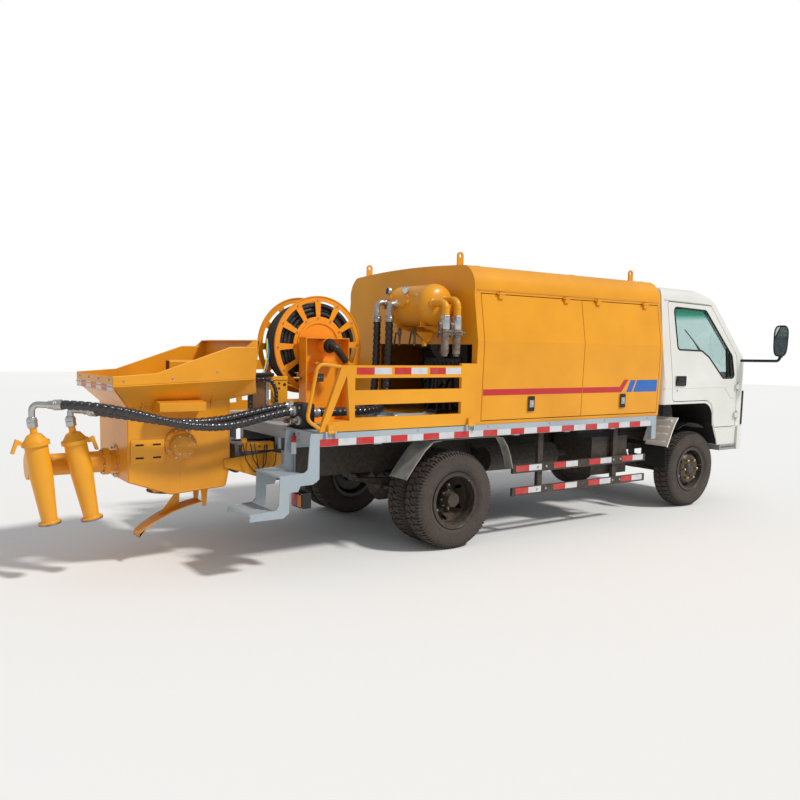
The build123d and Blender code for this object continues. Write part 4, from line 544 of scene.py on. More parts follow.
# Reflective tape: red and silver-white strips of prismatic sheet, 50 mm wide and cut 150 mm long, stuck on
# the deck edge, side rails, guards and hopper. A fine honeycomb shows in it, drawn a little coarse.
def tape_sheet(name, tone):
    """Prismatic sheet: a honeycomb of cells under a clear film, a little soiled."""
    material, tree = blank(name)
    where = add(tree, "TexCoord").outputs["Object"]
    cells = add(tree, "TexVoronoi", {"Vector": where, "Scale": 170.0}, feature="DISTANCE_TO_EDGE")
    dirt = add(tree, "TexNoise", {"Vector": where, "Scale": 14.0, "Detail": 6.0})
    web = add(tree, "MapRange", {"Value": cells.outputs["Distance"], "From Max": 0.08, "To Min": 0.82,
                                 "To Max": 1.0})
    lit = add(tree, "Mix", {"Factor": web, "A": linear("#9B9994"), "B": linear(tone)}, data_type="RGBA")
    film = add(tree, "MapRange", {"Value": dirt, "From Min": 0.45, "From Max": 0.8, "To Min": 0.0,
                                  "To Max": 0.35})
    soiled = add(tree, "Mix", {"Factor": film, "A": lit, "B": linear("#8D8276")}, data_type="RGBA")
    sheet = add(tree, "BsdfPrincipled", {"Base Color": soiled, "Roughness": 0.3, "Coat Weight": 0.1,
                                         "Coat Roughness": 0.2})
    add(tree, "OutputMaterial", {"Surface": sheet})
    return material


red_tape = tape_sheet("red reflective tape", "#C41212")
white_tape = tape_sheet("white reflective tape", "#D2D3D7")

# Deck: steel floor plate on folded edge beams in blue-grey enamel, scuffed and dusty. It is the CAD's
# own; the tape runs along both edge beams over a thin rub strip, and button heads hold the beams.
deck_grey = enamel("blue-grey enamel", "#AAB9C2", "#9FAEB8", dust=0.35, chips=0.8)
deck_half = 0.98
tape_length, tape_proud = 0.15, 0.0012


def tape_bar(piece, side, start, end, y, low, high, slot):
    """One strip of tape on a face that looks to a side."""
    piece.bar((start, y, low), (end, y + side * tape_proud, high), 0.0, slot=slot)


dress(deck_grey, "deck")
for side, word in ((-1, "right"), (1, "left")):
    piece = Piece()
    for n in range(24):
        x = -1.25 + tape_length * n
        tape_bar(piece, side, x + 0.001, x + tape_length - 0.001, side * deck_half, 0.889, 0.938, n % 2)
    piece.done("deck_tape_" + word, "truck", red_tape, white_tape, slot="deck_grey")
piece = Piece()
for side in (-1, 1):
    for x in (-1.11, -0.4, 0.3, 1.0, 1.7, 2.3):
        piece.nut((x, side * deck_half, 0.965), (0, side, 0), 0.006, 0.005)
    # a rub strip under the tape
    piece.bar((-1.25, side * 0.978, 0.887), (2.44, side * 0.982, 0.8885), 0.0)
piece.done("deck_bolts", "truck", galvanised, slot="deck_grey")

# Side rails: cut steel panels in yellow enamel with hand slots and a bent tube at the rear, hinged on
# the deck's edge. They are the CAD's own, with three pairs of tape strips stuck along the top.
yellow = enamel("yellow enamel", "#EEA31E", "#E29718", dust=0.14)
dress(yellow, "side_rail_right", "side_rail_left")
for side, word in ((-1, "right"), (1, "left")):
    piece = Piece()
    for n in range(3):
        for k in range(2):
            x = -0.955 + 0.327 * n + (tape_length + 0.001) * k
            tape_bar(piece, side, x, x + tape_length - 0.001 * k, side * deck_half, 1.385, 1.435, k)
    piece.done("rail_tape_" + word, "side_rail_" + word, red_tape, white_tape, slot="yellow_paint")

# Side guards: two square steel tubes a side, bolted to posts under the deck, in black chassis
# paint. They are the CAD's own, with pairs of tape strips on each tube and plated bolt heads.
dress(chassis_black, "side_guards")
guard_half = 0.95
for side, word in ((-1, "right"), (1, "left")):
    piece = Piece()
    y = side * guard_half
    for low in (0.566, 0.376):
        for n in range(4):
            for k in range(2):
                x = 0.655 + 3 * tape_length * n + (tape_length + 0.001) * k
                tape_bar(piece, side, x, x + tape_length - 0.001 * k, y, low, low + 0.05, k)
        for x in (1.01, 0.91, 1.98, 1.88):
            piece.nut((x, y, low + 0.025), (0, side, 0), 0.009, 0.009, slot=2)
    piece.done("guard_tape_" + word, "truck", red_tape, white_tape, galvanised, slot="deck_grey")

# Canopy: folded steel sheet in yellow enamel over the power pack, four top-hung doors, lifting eyes on the
# roof. A red band that steps up in blue bars runs along the doors; it is painted film, cut to its outline.
# dark rubber for seals, also used as painted shade in the hopper plate's slots
dark_gap = grained("dark rubber seal and painted slot shade", ["#0B0B0B", "#161616"], (0.6, 0.8), 120.0, 0.2)
black_plastic = grained("black moulded plastic", ["#0E0E0F", "#1B1B1C"], (0.35, 0.5), 260.0, 0.2)
dress(yellow, "canopy_shell", "canopy_door_right_rear", "canopy_door_right_front", "canopy_door_left_rear",
      "canopy_door_left_front", "lifting_eyes")
red_film = grained("red vinyl film", ["#B81016", "#C4151A"], (0.3, 0.4), 60.0, 0.05, Coat_Weight=0.3)
blue_film = grained("blue vinyl film", ["#125DB0", "#1B69BE"], (0.3, 0.4), 60.0, 0.05, Coat_Weight=0.3)
canopy_crease = 1.644
band_low, band_high, bars_high = 1.212, 1.262, 1.322


def canopy_side(z):
    """The canopy side's Y at a height; it leans in above and below its crease."""
    if z < canopy_crease:
        return 0.956 + 0.017 * (z - 0.98) / 0.664
    return 0.973 - 0.061 * (z - canopy_crease) / 0.376


def film(piece, side, outline, slot):
    """A thin film on the canopy side, cut to an outline of (ahead, height)."""
    b = bmesh.new()
    back = [b.verts.new((x, side * (canopy_side(z) - 0.0005), z)) for x, z in outline]
    front = [b.verts.new((x, side * (canopy_side(z) + 0.0008), z)) for x, z in outline]
    b.faces.new(front)
    b.faces.new(back[::-1])
    for k in range(len(outline)):
        m = (k + 1) % len(outline)
        b.faces.new((front[k], front[m], back[m], back[k]))
    bmesh.ops.recalc_face_normals(b, faces=b.faces[:])
    piece.take(b, slot)


for side, word in ((-1, "right"), (1, "left")):
    piece = Piece()
    film(piece, side, [(0.25, band_low), (1.400, band_low), (1.400, band_high), (0.25, band_high)], 0)
    piece.done("rear_door_band_" + word, "canopy_door_" + word + "_rear", red_film, blue_film,
               slot="yellow_paint")
    piece = Piece()
    film(piece, side, [(1.411, band_low), (1.93, band_low), (2.02, 1.326), (1.96, 1.326),
                       (1.905, band_high), (1.411, band_high)], 0)
    film(piece, side, [(2.0, band_low), (2.075, band_low), (2.125, bars_high), (2.05, bars_high)], 1)
    film(piece, side, [(2.095, band_low), (2.44, band_low), (2.44, bars_high), (2.145, bars_high)], 1)
    piece.done("front_door_band_" + word, "canopy_door_" + word + "_front", red_film, blue_film,
               slot="yellow_paint")
    for end, rear in (("rear", 0.244), ("front", 1.408)):
        body = "canopy_door_" + word + "_" + end
        # the flush latch: a black dished housing with a steel paddle and lock
        piece = Piece()
        x, z = rear + 0.54, 1.135
        y = canopy_side(z)
        piece.bar((x - 0.038, side * (y + 0.006), z - 0.063), (x + 0.038, side * (y + 0.0125), z + 0.063),
                  0.003)
        piece.bar((x - 0.024, side * (y + 0.012), z - 0.03), (x + 0.024, side * (y + 0.016), z + 0.03),
                  0.002, slot=1)
        piece.rod((x, side * (y + 0.012), z - 0.01), (x, side * (y + 0.021), z - 0.01), 0.011, 20, slot=1,
                  chamfer=0.002)
        piece.done("canopy_latch_" + word + "_" + end, body, black_plastic, galvanised,
                   slot="black_plastic")
        # the rubber seal behind the door's edge
        front = rear + (1.158 if end == "rear" else 1.047)
        piece = Piece()
        back_x, front_x = rear + 0.006, front - 0.006
        for x0, z0, x1, z1 in ((back_x, 1.02, back_x, canopy_crease), (back_x, canopy_crease, back_x, 2.0),
                               (front_x, 1.02, front_x, canopy_crease),
                               (front_x, canopy_crease, front_x, 2.0), (back_x, 1.022, front_x, 1.022),
                               (back_x, 2.005, front_x, 2.005)):
            run = [(x, side * (canopy_side(z) - 0.03), z) for x, z in ((x0, z0), (x1, z1))]
            piece.tube(run, 0.007, 8)
        piece.done("door_seal_" + word + "_" + end, body, dark_gap, slot="black_plastic")
piece = Piece()
for side in (-1, 1):
    # drip gutters over the doors
    y, z = 0.9045, 2.047
    gutter = [(side * y, z), (side * (y + 0.016), z - 0.002), (side * (y + 0.017), z + 0.006),
              (side * (y - 0.001), z + 0.010)]
    piece.plate(gutter, 0.2, 2.47, axis="X", edge=0.0)


def roof_height(y):
    """The canopy roof's height at a distance from its middle."""
    return 2.272 - 0.029 * (y / 0.8) ** 2


for x in (0.3, 1.405, 2.36):
    # covers over the roof's seams
    run = [(-0.8 + 1.6 * k / 24, roof_height(-0.8 + 1.6 * k / 24)) for k in range(25)]
    outline = [(y, z - 0.002) for y, z in run] + [(y, z + 0.003) for y, z in run[::-1]]
    piece.plate(outline, x - 0.02, x + 0.02, axis="X", edge=0.0)
for x in (0.224, 2.354):
    for side in (-1, 1):
        # weld beads round the eyes' feet
        y = side * 0.666
        z = roof_height(y)
        piece.tube([(x - 0.033, y - 0.008, z), (x + 0.033, y - 0.008, z), (x + 0.033, y + 0.008, z),
                    (x - 0.033, y + 0.008, z)], 0.004, 6, closed=True)
piece.done("canopy_seams", "truck", yellow, slot="yellow_paint")

# Power pack: the diesel engine and hydraulic tank seen through the canopy's rear opening,
# dark cast iron and painted sheet, with hoses; it stands over the plain block.
hose_black = grained("black hose rubber", ["#17171A", "#2C2C30"], (0.35, 0.5), 80.0, 0.15, Coat_Weight=0.15)
dress(grained("oily engine casting", ["#141312", "#2B2826", "#3B3733"], (0.45, 0.7), 70.0, 0.35),
      "power_pack")
piece = Piece()
back = 0.62
piece.bar((back - 0.02, -0.26, 1.10), (back, 0.26, 1.50), 0.01)
for n in range(9):
    y = -0.24 + 0.06 * n
    piece.bar((back - 0.034, y - 0.012, 1.14), (back - 0.018, y + 0.012, 1.46), 0.004)
piece.lathe((back, 0.0, 1.62), (-1, 0, 0), [(0, 0), (0, 0.12), (0.02, 0.13), (0.05, 0.13), (0.06, 0.10),
                                            (0.10, 0.06), (0.12, 0.06), (0.12, 0)], 36)
piece.rod((back, -0.20, 1.68), (back - 0.14, -0.20, 1.68), 0.05, 24, chamfer=0.006)
piece.rod((back, 0.21, 1.64), (back - 0.10, 0.21, 1.64), 0.06, 24, chamfer=0.006)
for y, z, r in ((-0.18, 1.30, 0.014), (-0.08, 1.26, 0.012), (0.06, 1.34, 0.014), (0.16, 1.28, 0.012),
                (-0.27, 1.40, 0.016)):
    piece.tube(curved([(back, y, z), (back - 0.10, y, z), (back - 0.17, y - 0.06, z - 0.12),
                       (back - 0.20, y - 0.09, 1.03)], 0.07), r, 10, slot=1)
    piece.lathe((back - 0.02, y, z), (-1, 0, 0), [(0, 0), (0, r * 1.7), (0.03, r * 1.7), (0.034, r * 1.2),
                                                  (0.05, r * 1.2)], 16, slot=2)
piece.done("power_pack_rear", "truck", casting, hose_black, galvanised, slot="cast_grey")

# Air tank: a rolled steel shell with dished ends in yellow enamel, two saddle brackets and two elbows at
# its right end that carry the outlet valves. It is turned from its section and replaces the plain tank.
piece = Piece()
tank = Vector((-0.02, 0, 1.925))
tank_radius = 0.165
dome = [(0.0, 0.0), (0.004, 0.05), (0.013, 0.09), (0.028, 0.122), (0.048, 0.146), (0.070, 0.160),
        (0.086, tank_radius)]
seams = [(0.098, 0.1665), (0.104, tank_radius), (0.506, tank_radius), (0.512, 0.1665)]
section = dome + seams + [(0.61 - s, r) for s, r in dome[::-1]]
piece.lathe(tank + Vector((0, -0.76, 0)), (0, 1, 0), section, 72)
outlet_places, outlet_y, outlet_low = (-0.107, 0.009), -0.905, 1.832
collars = ((-0.225, 1.952), (-0.365, 1.935))
for x, z in zip(outlet_places, (1.930, 1.956)):
    run = curved([(x, -0.70, z), (x, outlet_y, z), (x, outlet_y, outlet_low)], 0.062, 0.006)
    piece.tube(run, 0.030, 24)
    piece.lathe((x, -0.745, z), (0, -1, 0), [(0, 0.036), (0.006, 0.038), (0.012, 0.036), (0.015, 0.030)],
                28)
    piece.lathe((x, outlet_y, 1.89), (0, 0, -1), [(-0.012, 0.030), (-0.009, 0.032), (0.0, 0.032),
                                                  (0.003, 0.030)], 24)
for y in (-0.62, -0.29):
    piece.plate([(-0.13, 1.81), (-0.13, 1.755), (0.06, 1.70), (0.17, 1.64), (0.17, 1.925)], y - 0.005,
                y + 0.005)
    piece.bar((0.158, y - 0.05, 1.62), (0.170, y + 0.05, 1.93), 0.002)
    piece.bar((-0.13, y - 0.03, 1.75), (0.05, y + 0.03, 1.758), 0.002)
    for z in (1.66, 1.90):
        piece.nut((0.158, y + 0.034, z), (-1, 0, 0), 0.009, 0.008, slot=1)
piece.plate([(-0.155, 1.71), (0.02, 1.71), (-0.01, 1.64), (-0.05, 1.62)], -0.60, -0.594)
piece.bar((-0.075, -0.60, 1.595), (-0.045, -0.57, 1.64), 0.003)
# the two tapped collars that the hose elbows are screwed to
for y, z in collars:
    piece.rod((-0.15, y + 0.03, z - 0.03), (-0.205, y + 0.03, z - 0.03), 0.022, 20, chamfer=0.003)
    piece.rod((-0.195, y, z), (-0.195, y - 0.12, z - 0.015), 0.016, 6)
piece.done("air_tank_shell", "truck", yellow, galvanised, replaces=["air_tank"], slot="yellow_paint")

# Tank fittings: turned and forged steel. The outlet pipes end in a union, a
# ball valve with clamp ring and a grooved tail, plated above and rusty below;
# two large elbows lead down to the hoses; small cocks drain the tank.
rusty = grained("weathered valve steel", ["#5E4636", "#877A6E", "#A9A49D"], (0.4, 0.65), 30.0, 0.12,
                metal=0.6)
lever_blue = grained("blue valve lever sleeve", ["#23324F", "#30446B"], (0.4, 0.5), 90.0, 0.1)
piece = Piece()
fall = Vector((0, 0, -1))
for x in outlet_places:
    top = Vector((x, outlet_y, outlet_low))
    piece.lathe(top, fall, [(0, 0.030), (0, 0.037), (0.004, 0.039), (0.028, 0.039), (0.032, 0.036)], 6)
    piece.lathe(top, fall, [(0.03, 0.034), (0.04, 0.036), (0.10, 0.036), (0.108, 0.032)], 28)
    piece.lathe(top, fall, [(0.104, 0.031), (0.112, 0.031), (0.112, 0.046), (0.124, 0.047), (0.126, 0.040),
                            (0.134, 0.040), (0.136, 0.047), (0.148, 0.046), (0.150, 0.031), (0.172, 0.031),
                            (0.174, 0.034), (0.186, 0.034), (0.188, 0.031), (0.292, 0.0305), (0.294, 0.027),
                            (0.296, 0.023), (0.312, 0.023), (0.312, 0.0)], 32, slot=1)
    for way in (-1, 1):
        piece.rod(top + Vector((way * 0.044, -0.004, -0.13)), top + Vector((way * 0.072, -0.004, -0.13)),
                  0.011, 6, slot=1)
        piece.bar(top + Vector((way * 0.040, -0.012, -0.15)), top + Vector((way * 0.056, 0.012, -0.11)),
                  0.003, slot=1)
    piece.rod(top + Vector((-0.03, 0, -0.066)), top + Vector((-0.062, 0, -0.058)), 0.008, 10)
    piece.bar(top + Vector((-0.066, -0.007, -0.17)), top + Vector((-0.060, 0.007, -0.052)), 0.002, slot=2)
for (y, z), end in zip(collars, (-0.28, -0.255)):
    run = curved([(-0.185, y, z), (end, y, z), (end, y, 1.84)], 0.062, 0.006)
    piece.tube(run, 0.0235, 24)
    piece.lathe((-0.178, y, z), (-1, 0, 0), [(0, 0.0), (0, 0.034), (0.004, 0.036), (0.024, 0.036),
                                             (0.028, 0.033)], 6)
    piece.lathe((-0.205, y, z), (-1, 0, 0), [(0, 0.022), (0, 0.029), (0.012, 0.029), (0.016, 0.024)], 28)
    piece.lathe((end, y, 1.885), (0, 0, -1), [(0, 0.0235), (0.004, 0.0255), (0.045, 0.027), (0.05, 0.033),
                                              (0.052, 0.033)], 28)
for x, y in ((-0.07, -0.255), (-0.02, -0.40)):
    low = tank.z - math.sqrt(tank_radius ** 2 - (x - tank.x) ** 2)
    piece.rod((x, y, low + 0.004), (x, y, 1.60), 0.010, 12, slot=1)
    piece.rod((x, y, 1.74), (x, y, 1.722), 0.018, 6, slot=1)
    piece.rod((x, y, 1.685), (x, y, 1.722), 0.016, 16, slot=1)
    piece.rod((x, y, 1.70), (x - 0.032, y, 1.70), 0.006, 10)
    piece.plate([(x - 0.040, 1.708), (x - 0.034, 1.708), (x - 0.050, 1.60), (x - 0.060, 1.60)], y - 0.008,
                y + 0.008, slot=2)
piece.done("tank_fittings", "truck", galvanised, rusty, lever_blue, replaces=["tank_couplings"],
           slot="bare_steel")

# Pressure gauges: spun cases on a threaded stem and a small valve block. One
# shows its black back, the other a white dial with a black needle and marks.
dial_white = grained("white gauge dial", ["#F2F2EF", "#FBFBF9"], (0.2, 0.3), 40.0, 0.02)
piece = Piece()
for y, z, out, shown in ((-0.262, 2.043, (-1, 0.15, 0.1), 2), (-0.489, 2.04, (-1, -0.45, 0.05), 0)):
    out = Vector(out).normalized()
    centre = Vector((-0.18, y, z))
    piece.lathe(centre, out, [(0.0, 0.0), (0.0, 0.028), (0.003, 0.032), (0.024, 0.032), (0.028, 0.030),
                              (0.028, 0.0265), (0.025, 0.026)], 40, slot=1)
    piece.lathe(centre + out * 0.0247, out, [(0, 0.027), (0.0004, 0)], 40, slot=shown)
    across = Vector((0, 0, 1)).cross(out).normalized()
    up = out.cross(across)
    if shown == 0:
        for n in range(11):
            a = math.radians(225 - 27 * n)
            way = across * math.cos(a) + up * math.sin(a)
            piece.rod(centre + out * 0.0253 + way * 0.0185, centre + out * 0.0253 + way * 0.023, 0.0007, 6,
                      slot=2)
        way = across * math.cos(2.2) + up * math.sin(2.2)
        piece.rod(centre + out * 0.0258, centre + out * 0.0258 + way * 0.018, 0.0009, 6, slot=2)
    piece.rod(centre - Vector((0, 0, 0.03)), Vector((-0.17, y - 0.01, 1.955)), 0.008, 12, slot=3)
    piece.rod(Vector((-0.17, y - 0.01, 1.975)), Vector((-0.17, y - 0.01, 1.995)), 0.014, 6, slot=3)
    piece.bar((-0.20, y - 0.045, 1.93), (-0.165, y + 0.02, 1.96), 0.004, slot=3)
piece.done("pressure_gauges", "truck", dial_white, galvanised, black_plastic, yellow, slot="bare_steel")

# Hopper: a trough, a flare and a folded lip welded from 10 mm steel in yellow
# enamel, dusted with dry concrete. Each wall is a sheet between its corners; the
# lip's lower edge rises to the front. It replaces the CAD's plainer shell.
hopper_yellow = enamel("yellow hopper enamel", "#ECA01E", "#D68C16", dust=0.22, chips=1.0)
dress(yellow, "outlet_manifold", "converter_cones")
dress(grained("mixer drive enamel", ["#B87416", "#D08A1E", "#DE9A28"], (0.4, 0.6), 90.0, 0.25),
      "mixer_drives")
dress(grained("concrete-scoured steel", ["#7C776E", "#A19C92", "#8D8478"], (0.45, 0.7), 60.0, 0.5,
              metal=0.5), "agitator")
lip_rear = -2.52


def lip_low(x):
    """Height of the lip's lower edge at a place."""
    return 1.297 + 0.045 * (x - lip_rear)


def sheet(piece, corners, thick, slot=0):
    """A flat plate between its corners, as (ahead, y, z); thick is measured along their normal."""
    b = bmesh.new()
    pts = [Vector((x, y, z)) for x, y, z in corners]
    normal = sum(((q - pts[0]).cross(r - pts[0]) for q, r in zip(pts[1:], pts[2:])), Vector()).normalized()
    near = [b.verts.new(q) for q in pts]
    far = [b.verts.new(q + normal * thick) for q in pts]
    b.faces.new(near)
    b.faces.new(far[::-1])
    for k in range(len(pts)):
        m = (k + 1) % len(pts)
        b.faces.new((near[m], near[k], far[k], far[m]))
    bmesh.ops.recalc_face_normals(b, faces=b.faces[:])
    piece.take(b, slot)


shaft_x, shaft_z = -2.02, 0.88
trough = [(-2.383, 1.15), (-2.383, 0.637), (-2.088, 0.531), (-1.686, 0.557), (-1.655, 0.70),
          (-1.655, 1.194)]
trough_half, lip_half = 0.35, 0.497
over_shaft, under_shaft = (shaft_x, 1.172), (shaft_x, 0.5354)
lip_top = [(lip_rear, 1.356), (-2.229, 1.377), (-1.70, 1.560), (-1.492, 1.5635)]


def notch(way):
    """Half the opening for the agitator's shaft, from its far side to its near side."""
    steps = [math.pi * k / 12 for k in range(13)]
    return [(shaft_x + way * 0.041 * math.sin(a), shaft_z + way * 0.041 * math.cos(a)) for a in steps]


piece = Piece()
for side in (-1, 1):
    # trough side in two halves round the agitator's shaft
    for outline in ([over_shaft] + trough[:3] + [under_shaft] + notch(-1),
                    [under_shaft] + trough[3:] + [over_shaft] + notch(1)):
        piece.plate(outline, *sorted((side * 0.34, side * trough_half)), edge=0.0)
    # flare, its front corner, lip and the strip folded in under it
    lip_corner = (-1.51, side * lip_half, lip_low(-1.51))
    front_foot = (-1.655, side * trough_half, 1.194)
    sheet(piece, [(-2.383, side * trough_half, 1.15), front_foot, lip_corner,
                  (lip_rear, side * lip_half, 1.297)], -0.009 * side)
    sheet(piece, [front_foot, (-1.505, side * lip_half, 1.243), lip_corner], -0.009 * side)
    piece.plate([(lip_rear, 1.297)] + lip_top + [(-1.51, lip_low(-1.51))],
                *sorted((side * 0.487, side * lip_half)), edge=0.002)
    folded = ((-2.48, 0.487), (-1.80, 0.487), (-1.80, 0.45), (-2.48, 0.45))
    sheet(piece, [(x, side * y, lip_low(x)) for x, y in folded], -0.006 * side)
    # tapered supports that run forward to the rails, bearing cover, ribs under the flare
    support = [(-1.70, 0.748), (-1.69, 0.690), (-1.43, 0.60), (-1.11, 0.60), (-1.11, 0.735), (-1.31, 0.784)]
    piece.plate(support, *sorted((side * trough_half, side * 0.364)))
    cover = [(side * trough_half, 1.105), (side * 0.492, 1.118), (side * 0.492, 1.178),
             (side * trough_half, 1.196)]
    piece.plate(cover, -2.213, -1.88, axis="X", edge=0.003)
    for x in (-2.29, -1.79):
        z = 1.15 + 0.0604 * (x + 2.383)
        rib = [(side * trough_half, z - 0.06), (side * trough_half, z), (side * 0.40, z + 0.048)]
        piece.plate(rib, x - 0.004, x + 0.004, axis="X", edge=0.0)


def cross_sheet(piece, low, low_half, high, high_half, thick):
    """A wall right across the hopper, between a low and a high edge given as (ahead, height)."""
    corners = [(low[0], -low_half, low[1]), (low[0], low_half, low[1]), (high[0], high_half, high[1]),
               (high[0], -high_half, high[1])]
    sheet(piece, corners, thick)


for (x0, z0), (x1, z1) in zip(trough, trough[1:]):
    sheet(piece, [(x0, -0.348, z0), (x1, -0.348, z1), (x1, 0.348, z1), (x0, 0.348, z0)], -0.010)
cross_sheet(piece, trough[0], trough_half, (lip_rear, 1.297), lip_half, -0.009)
cross_sheet(piece, trough[-1], trough_half, (-1.505, 1.243), lip_half, 0.009)
# rear lip, its skirt, and the front wall that leans forward and stands higher than the sides
cross_sheet(piece, (lip_rear, 1.297), 0.492, (lip_rear, 1.356), 0.492, 0.010)
piece.bar((lip_rear, -lip_half, 1.255), (-2.512, lip_half, 1.301), 0.001)
cross_sheet(piece, (-1.505, 1.243), 0.496, (-1.51, 1.343), 0.496, -0.009)
cross_sheet(piece, (-1.51, 1.34), 0.496, (-1.480, 1.612), 0.496, -0.009)
cross_sheet(piece, (-1.48, 1.612), 0.496, (-1.535, 1.606), 0.496, 0.006)
for side in (-1, 1):
    gusset = [(-1.492, 1.55), (-1.480, 1.612), (-1.535, 1.606), (-1.59, 1.560)]
    piece.plate(gusset, *sorted((side * 0.49, side * 0.496)), edge=0.0)
# covered strip on the left with the vibrator's housing, open at its rear end, where a dark sheet is painted
# shade inside the opening
strip = ((-2.50, 0.286), (-1.53, 0.286), (-1.53, 0.487), (-2.50, 0.487))
sheet(piece, [(x, y, lip_low(x)) for x, y in strip], 0.006)
housing = [(0.296, 1.335), (0.296, 1.440), (0.306, 1.452), (0.322, 1.456), (0.387, 1.456), (0.387, 1.335)]
piece.plate(housing, -1.87, -1.64, axis="X", edge=0.002)
# dark sheet across the housing's rear end: painted shade inside the opening
piece.bar((-1.8712, 0.302, 1.36), (-1.8695, 0.381, 1.447), 0.0, slot=1)
primer = grained("painted shade inside the housing's opening", ["#5A2410", "#6B2E14"], (0.6, 0.8), 40.0, 0.1)
piece.done("hopper_shell", "truck", hopper_yellow, primer, replaces=["hopper"], slot="yellow_paint")

# Hopper grate: flat bars on the lip's slope, welded to three cross bars and hung on
# two hinge arms; yellow enamel worn by aggregate. It replaces the plain grate.
piece = Piece()
for n in range(10):
    y = -0.464 + 0.08 * n
    corners = ((-2.49, 0.010), (-1.745, 0.010), (-1.745, 0.026), (-2.49, 0.026))
    flat = [(x, lip_low(x) + rise) for x, rise in corners]
    piece.plate(flat, y - 0.005, y + 0.005, edge=0.0)
for x in (-2.486, -2.12, -1.756):
    piece.bar((x - 0.006, -0.47, lip_low(x) + 0.011), (x + 0.006, 0.266, lip_low(x) + 0.027), 0.001)
for y in (-0.30, 0.18):
    arm = [(-1.76, 1.345), (-1.76, 1.331), (-1.60, 1.288), (-1.535, 1.272), (-1.529, 1.281),
           (-1.535, 1.290), (-1.60, 1.304)]
    piece.plate(arm, y - 0.006, y + 0.006, edge=0.0)
piece.rod((-1.535, -0.40, 1.281), (-1.535, 0.27, 1.281), 0.010, 16)
piece.done("grate_bars", "hopper_grate", hopper_yellow, replaces=["hopper_grate"], slot="yellow_paint")

# Hopper fittings: tape along the rear lip's lower half, a rolled edge on
# the lip's top, bolt heads, weld beads where the trough's plates meet, a
# slotted plate, a lifting loop and the bolts of the shaft's bearings.
piece = Piece()
for k in range(7):
    low, high = -0.49 + 0.14 * k, -0.49 + 0.14 * (k + 1) - 0.001
    piece.bar((lip_rear - tape_proud, low, 1.262), (lip_rear, min(high, 0.49), 1.305), 0.0,
              slot=(k + 1) % 2)
piece.done("hopper_tape", "truck", red_tape, white_tape, slot="yellow_paint")
piece = Piece()
for side in (-1, 1):
    # rolled edge along the lip's top
    piece.tube([(x, side * 0.491, z) for x, z in lip_top], 0.005, 8)
    for x, z in ((-2.45, 1.33), (-2.12, 1.345), (-1.80, 1.39)):
        piece.nut((x, side * lip_half, z), (0, side, 0), 0.006, 0.005, slot=1)
    # weld beads where the trough's plates meet
    bead = [(-2.383, 1.16)] + trough[1:-1] + [(-1.655, 1.19)]
    piece.tube([(x, side * trough_half, z) for x, z in bead], 0.0045, 6)
    # slotted plate on the trough's side; its slots are dark bars, painted shade for the holes
    piece.bar((-2.37, side * 0.351, 0.76), (-2.134, side * 0.359, 0.92), 0.002)
    for x in (-2.31, -2.19):
        for z in (0.795, 0.885):
            piece.bar((x - 0.028, side * 0.3592, z - 0.006), (x + 0.028, side * 0.3605, z + 0.006), 0.001,
                      slot=2)
    # lifting loop
    piece.tube(curved([(-1.78, side * 0.353, 1.06), (-1.78, side * 0.40, 1.04), (-1.69, side * 0.40, 1.04),
                       (-1.69, side * 0.353, 1.06)], 0.02), 0.006, 8)
    piece.nut_ring((shaft_x, side * 0.366, shaft_z), (0, side, 0), 0.1, 8, 0.009, 0.012, slot=1, start=0.5)
for y in (-0.4, -0.13, 0.13, 0.4):
    piece.nut((lip_rear, y, 1.335), (-1, 0, 0), 0.007, 0.006, slot=1)
piece.done("hopper_details", "truck", yellow, galvanised, dark_gap, slot="yellow_paint")

# Clean-out lid: a round steel plate under the trough's neck, opened by a broad strap that is bent down and
# back to a grip; yellow enamel outside, dark concrete film on the plate. It replaces the plain flap.
piece = Piece()
turns = [math.radians(64 + 232 * k / 24) for k in range(25)]
rim = [(-2.0 + 0.15 * math.cos(a), 0.15 * math.sin(a)) for a in turns]
lid = [(-1.935, 0.135)] + rim + [(-1.935, -0.135)]
piece.plate(lid, 0.488, 0.498, axis="Z", slot=1)
piece.lathe((-1.941, -0.11, 0.505), (0, 1, 0), [(0, 0.0095), (0, 0.014), (0.22, 0.014), (0.22, 0.0095)], 20)
strap = [(-1.80, 0.412), (-1.90, 0.392), (-2.01, 0.362), (-2.09, 0.328), (-2.165, 0.288), (-2.215, 0.258),
         (-2.245, 0.232), (-2.262, 0.224), (-2.268, 0.196)]
outline = [(x, z + 0.010) for x, z in strap] + [(x - 0.002, z) for x, z in strap[::-1]]
piece.plate(outline, -0.19, -0.04, edge=0.0012)
piece.plate([(-2.10, 0.335), (-1.95, 0.384), (-1.945, 0.490), (-1.975, 0.490)], -0.119, -0.111, edge=0.0)
piece.done("cleanout_lid", "cleanout_door", yellow, rusty, replaces=["cleanout_door"], slot="yellow_paint")
piece = Piece()
for y in (-0.203, -0.035):
    # fork on the trough that guides the strap's front end
    piece.plate([(-1.80, 0.385), (-1.77, 0.385), (-1.755, 0.552), (-1.815, 0.550)], y, y + 0.008)
piece.plate([(-2.13, -0.11), (-1.955, -0.11), (-1.955, 0.11), (-2.13, 0.11)], 0.500, 0.548, axis="Z")
piece.done("cleanout_neck", "truck", yellow, slot="yellow_paint")

# Valve stand between the hopper and the deck: a bridge of flat bar, a drilled bracket, two zinc
# posts and a sheet cover whose yellow paint is coloured brown as painted shade, with a dark cap; a small
# hose arches over it from union to union.
def evenly(points, step):
    """The same line with points at even steps."""
    pts = [Vector(p) for p in points]
    spans = [(b - a).length for a, b in zip(pts, pts[1:])]
    total = sum(spans)
    count = max(2, round(total / step))
    out = []
    n, done = 0, 0.0
    for k in range(count + 1):
        target = total * k / count
        while n < len(spans) - 1 and done + spans[n] < target:
            done += spans[n]
            n += 1
        t = min(1.0, (target - done) / max(spans[n], 1e-9))
        out.append(pts[n].lerp(pts[n + 1], t))
    return out


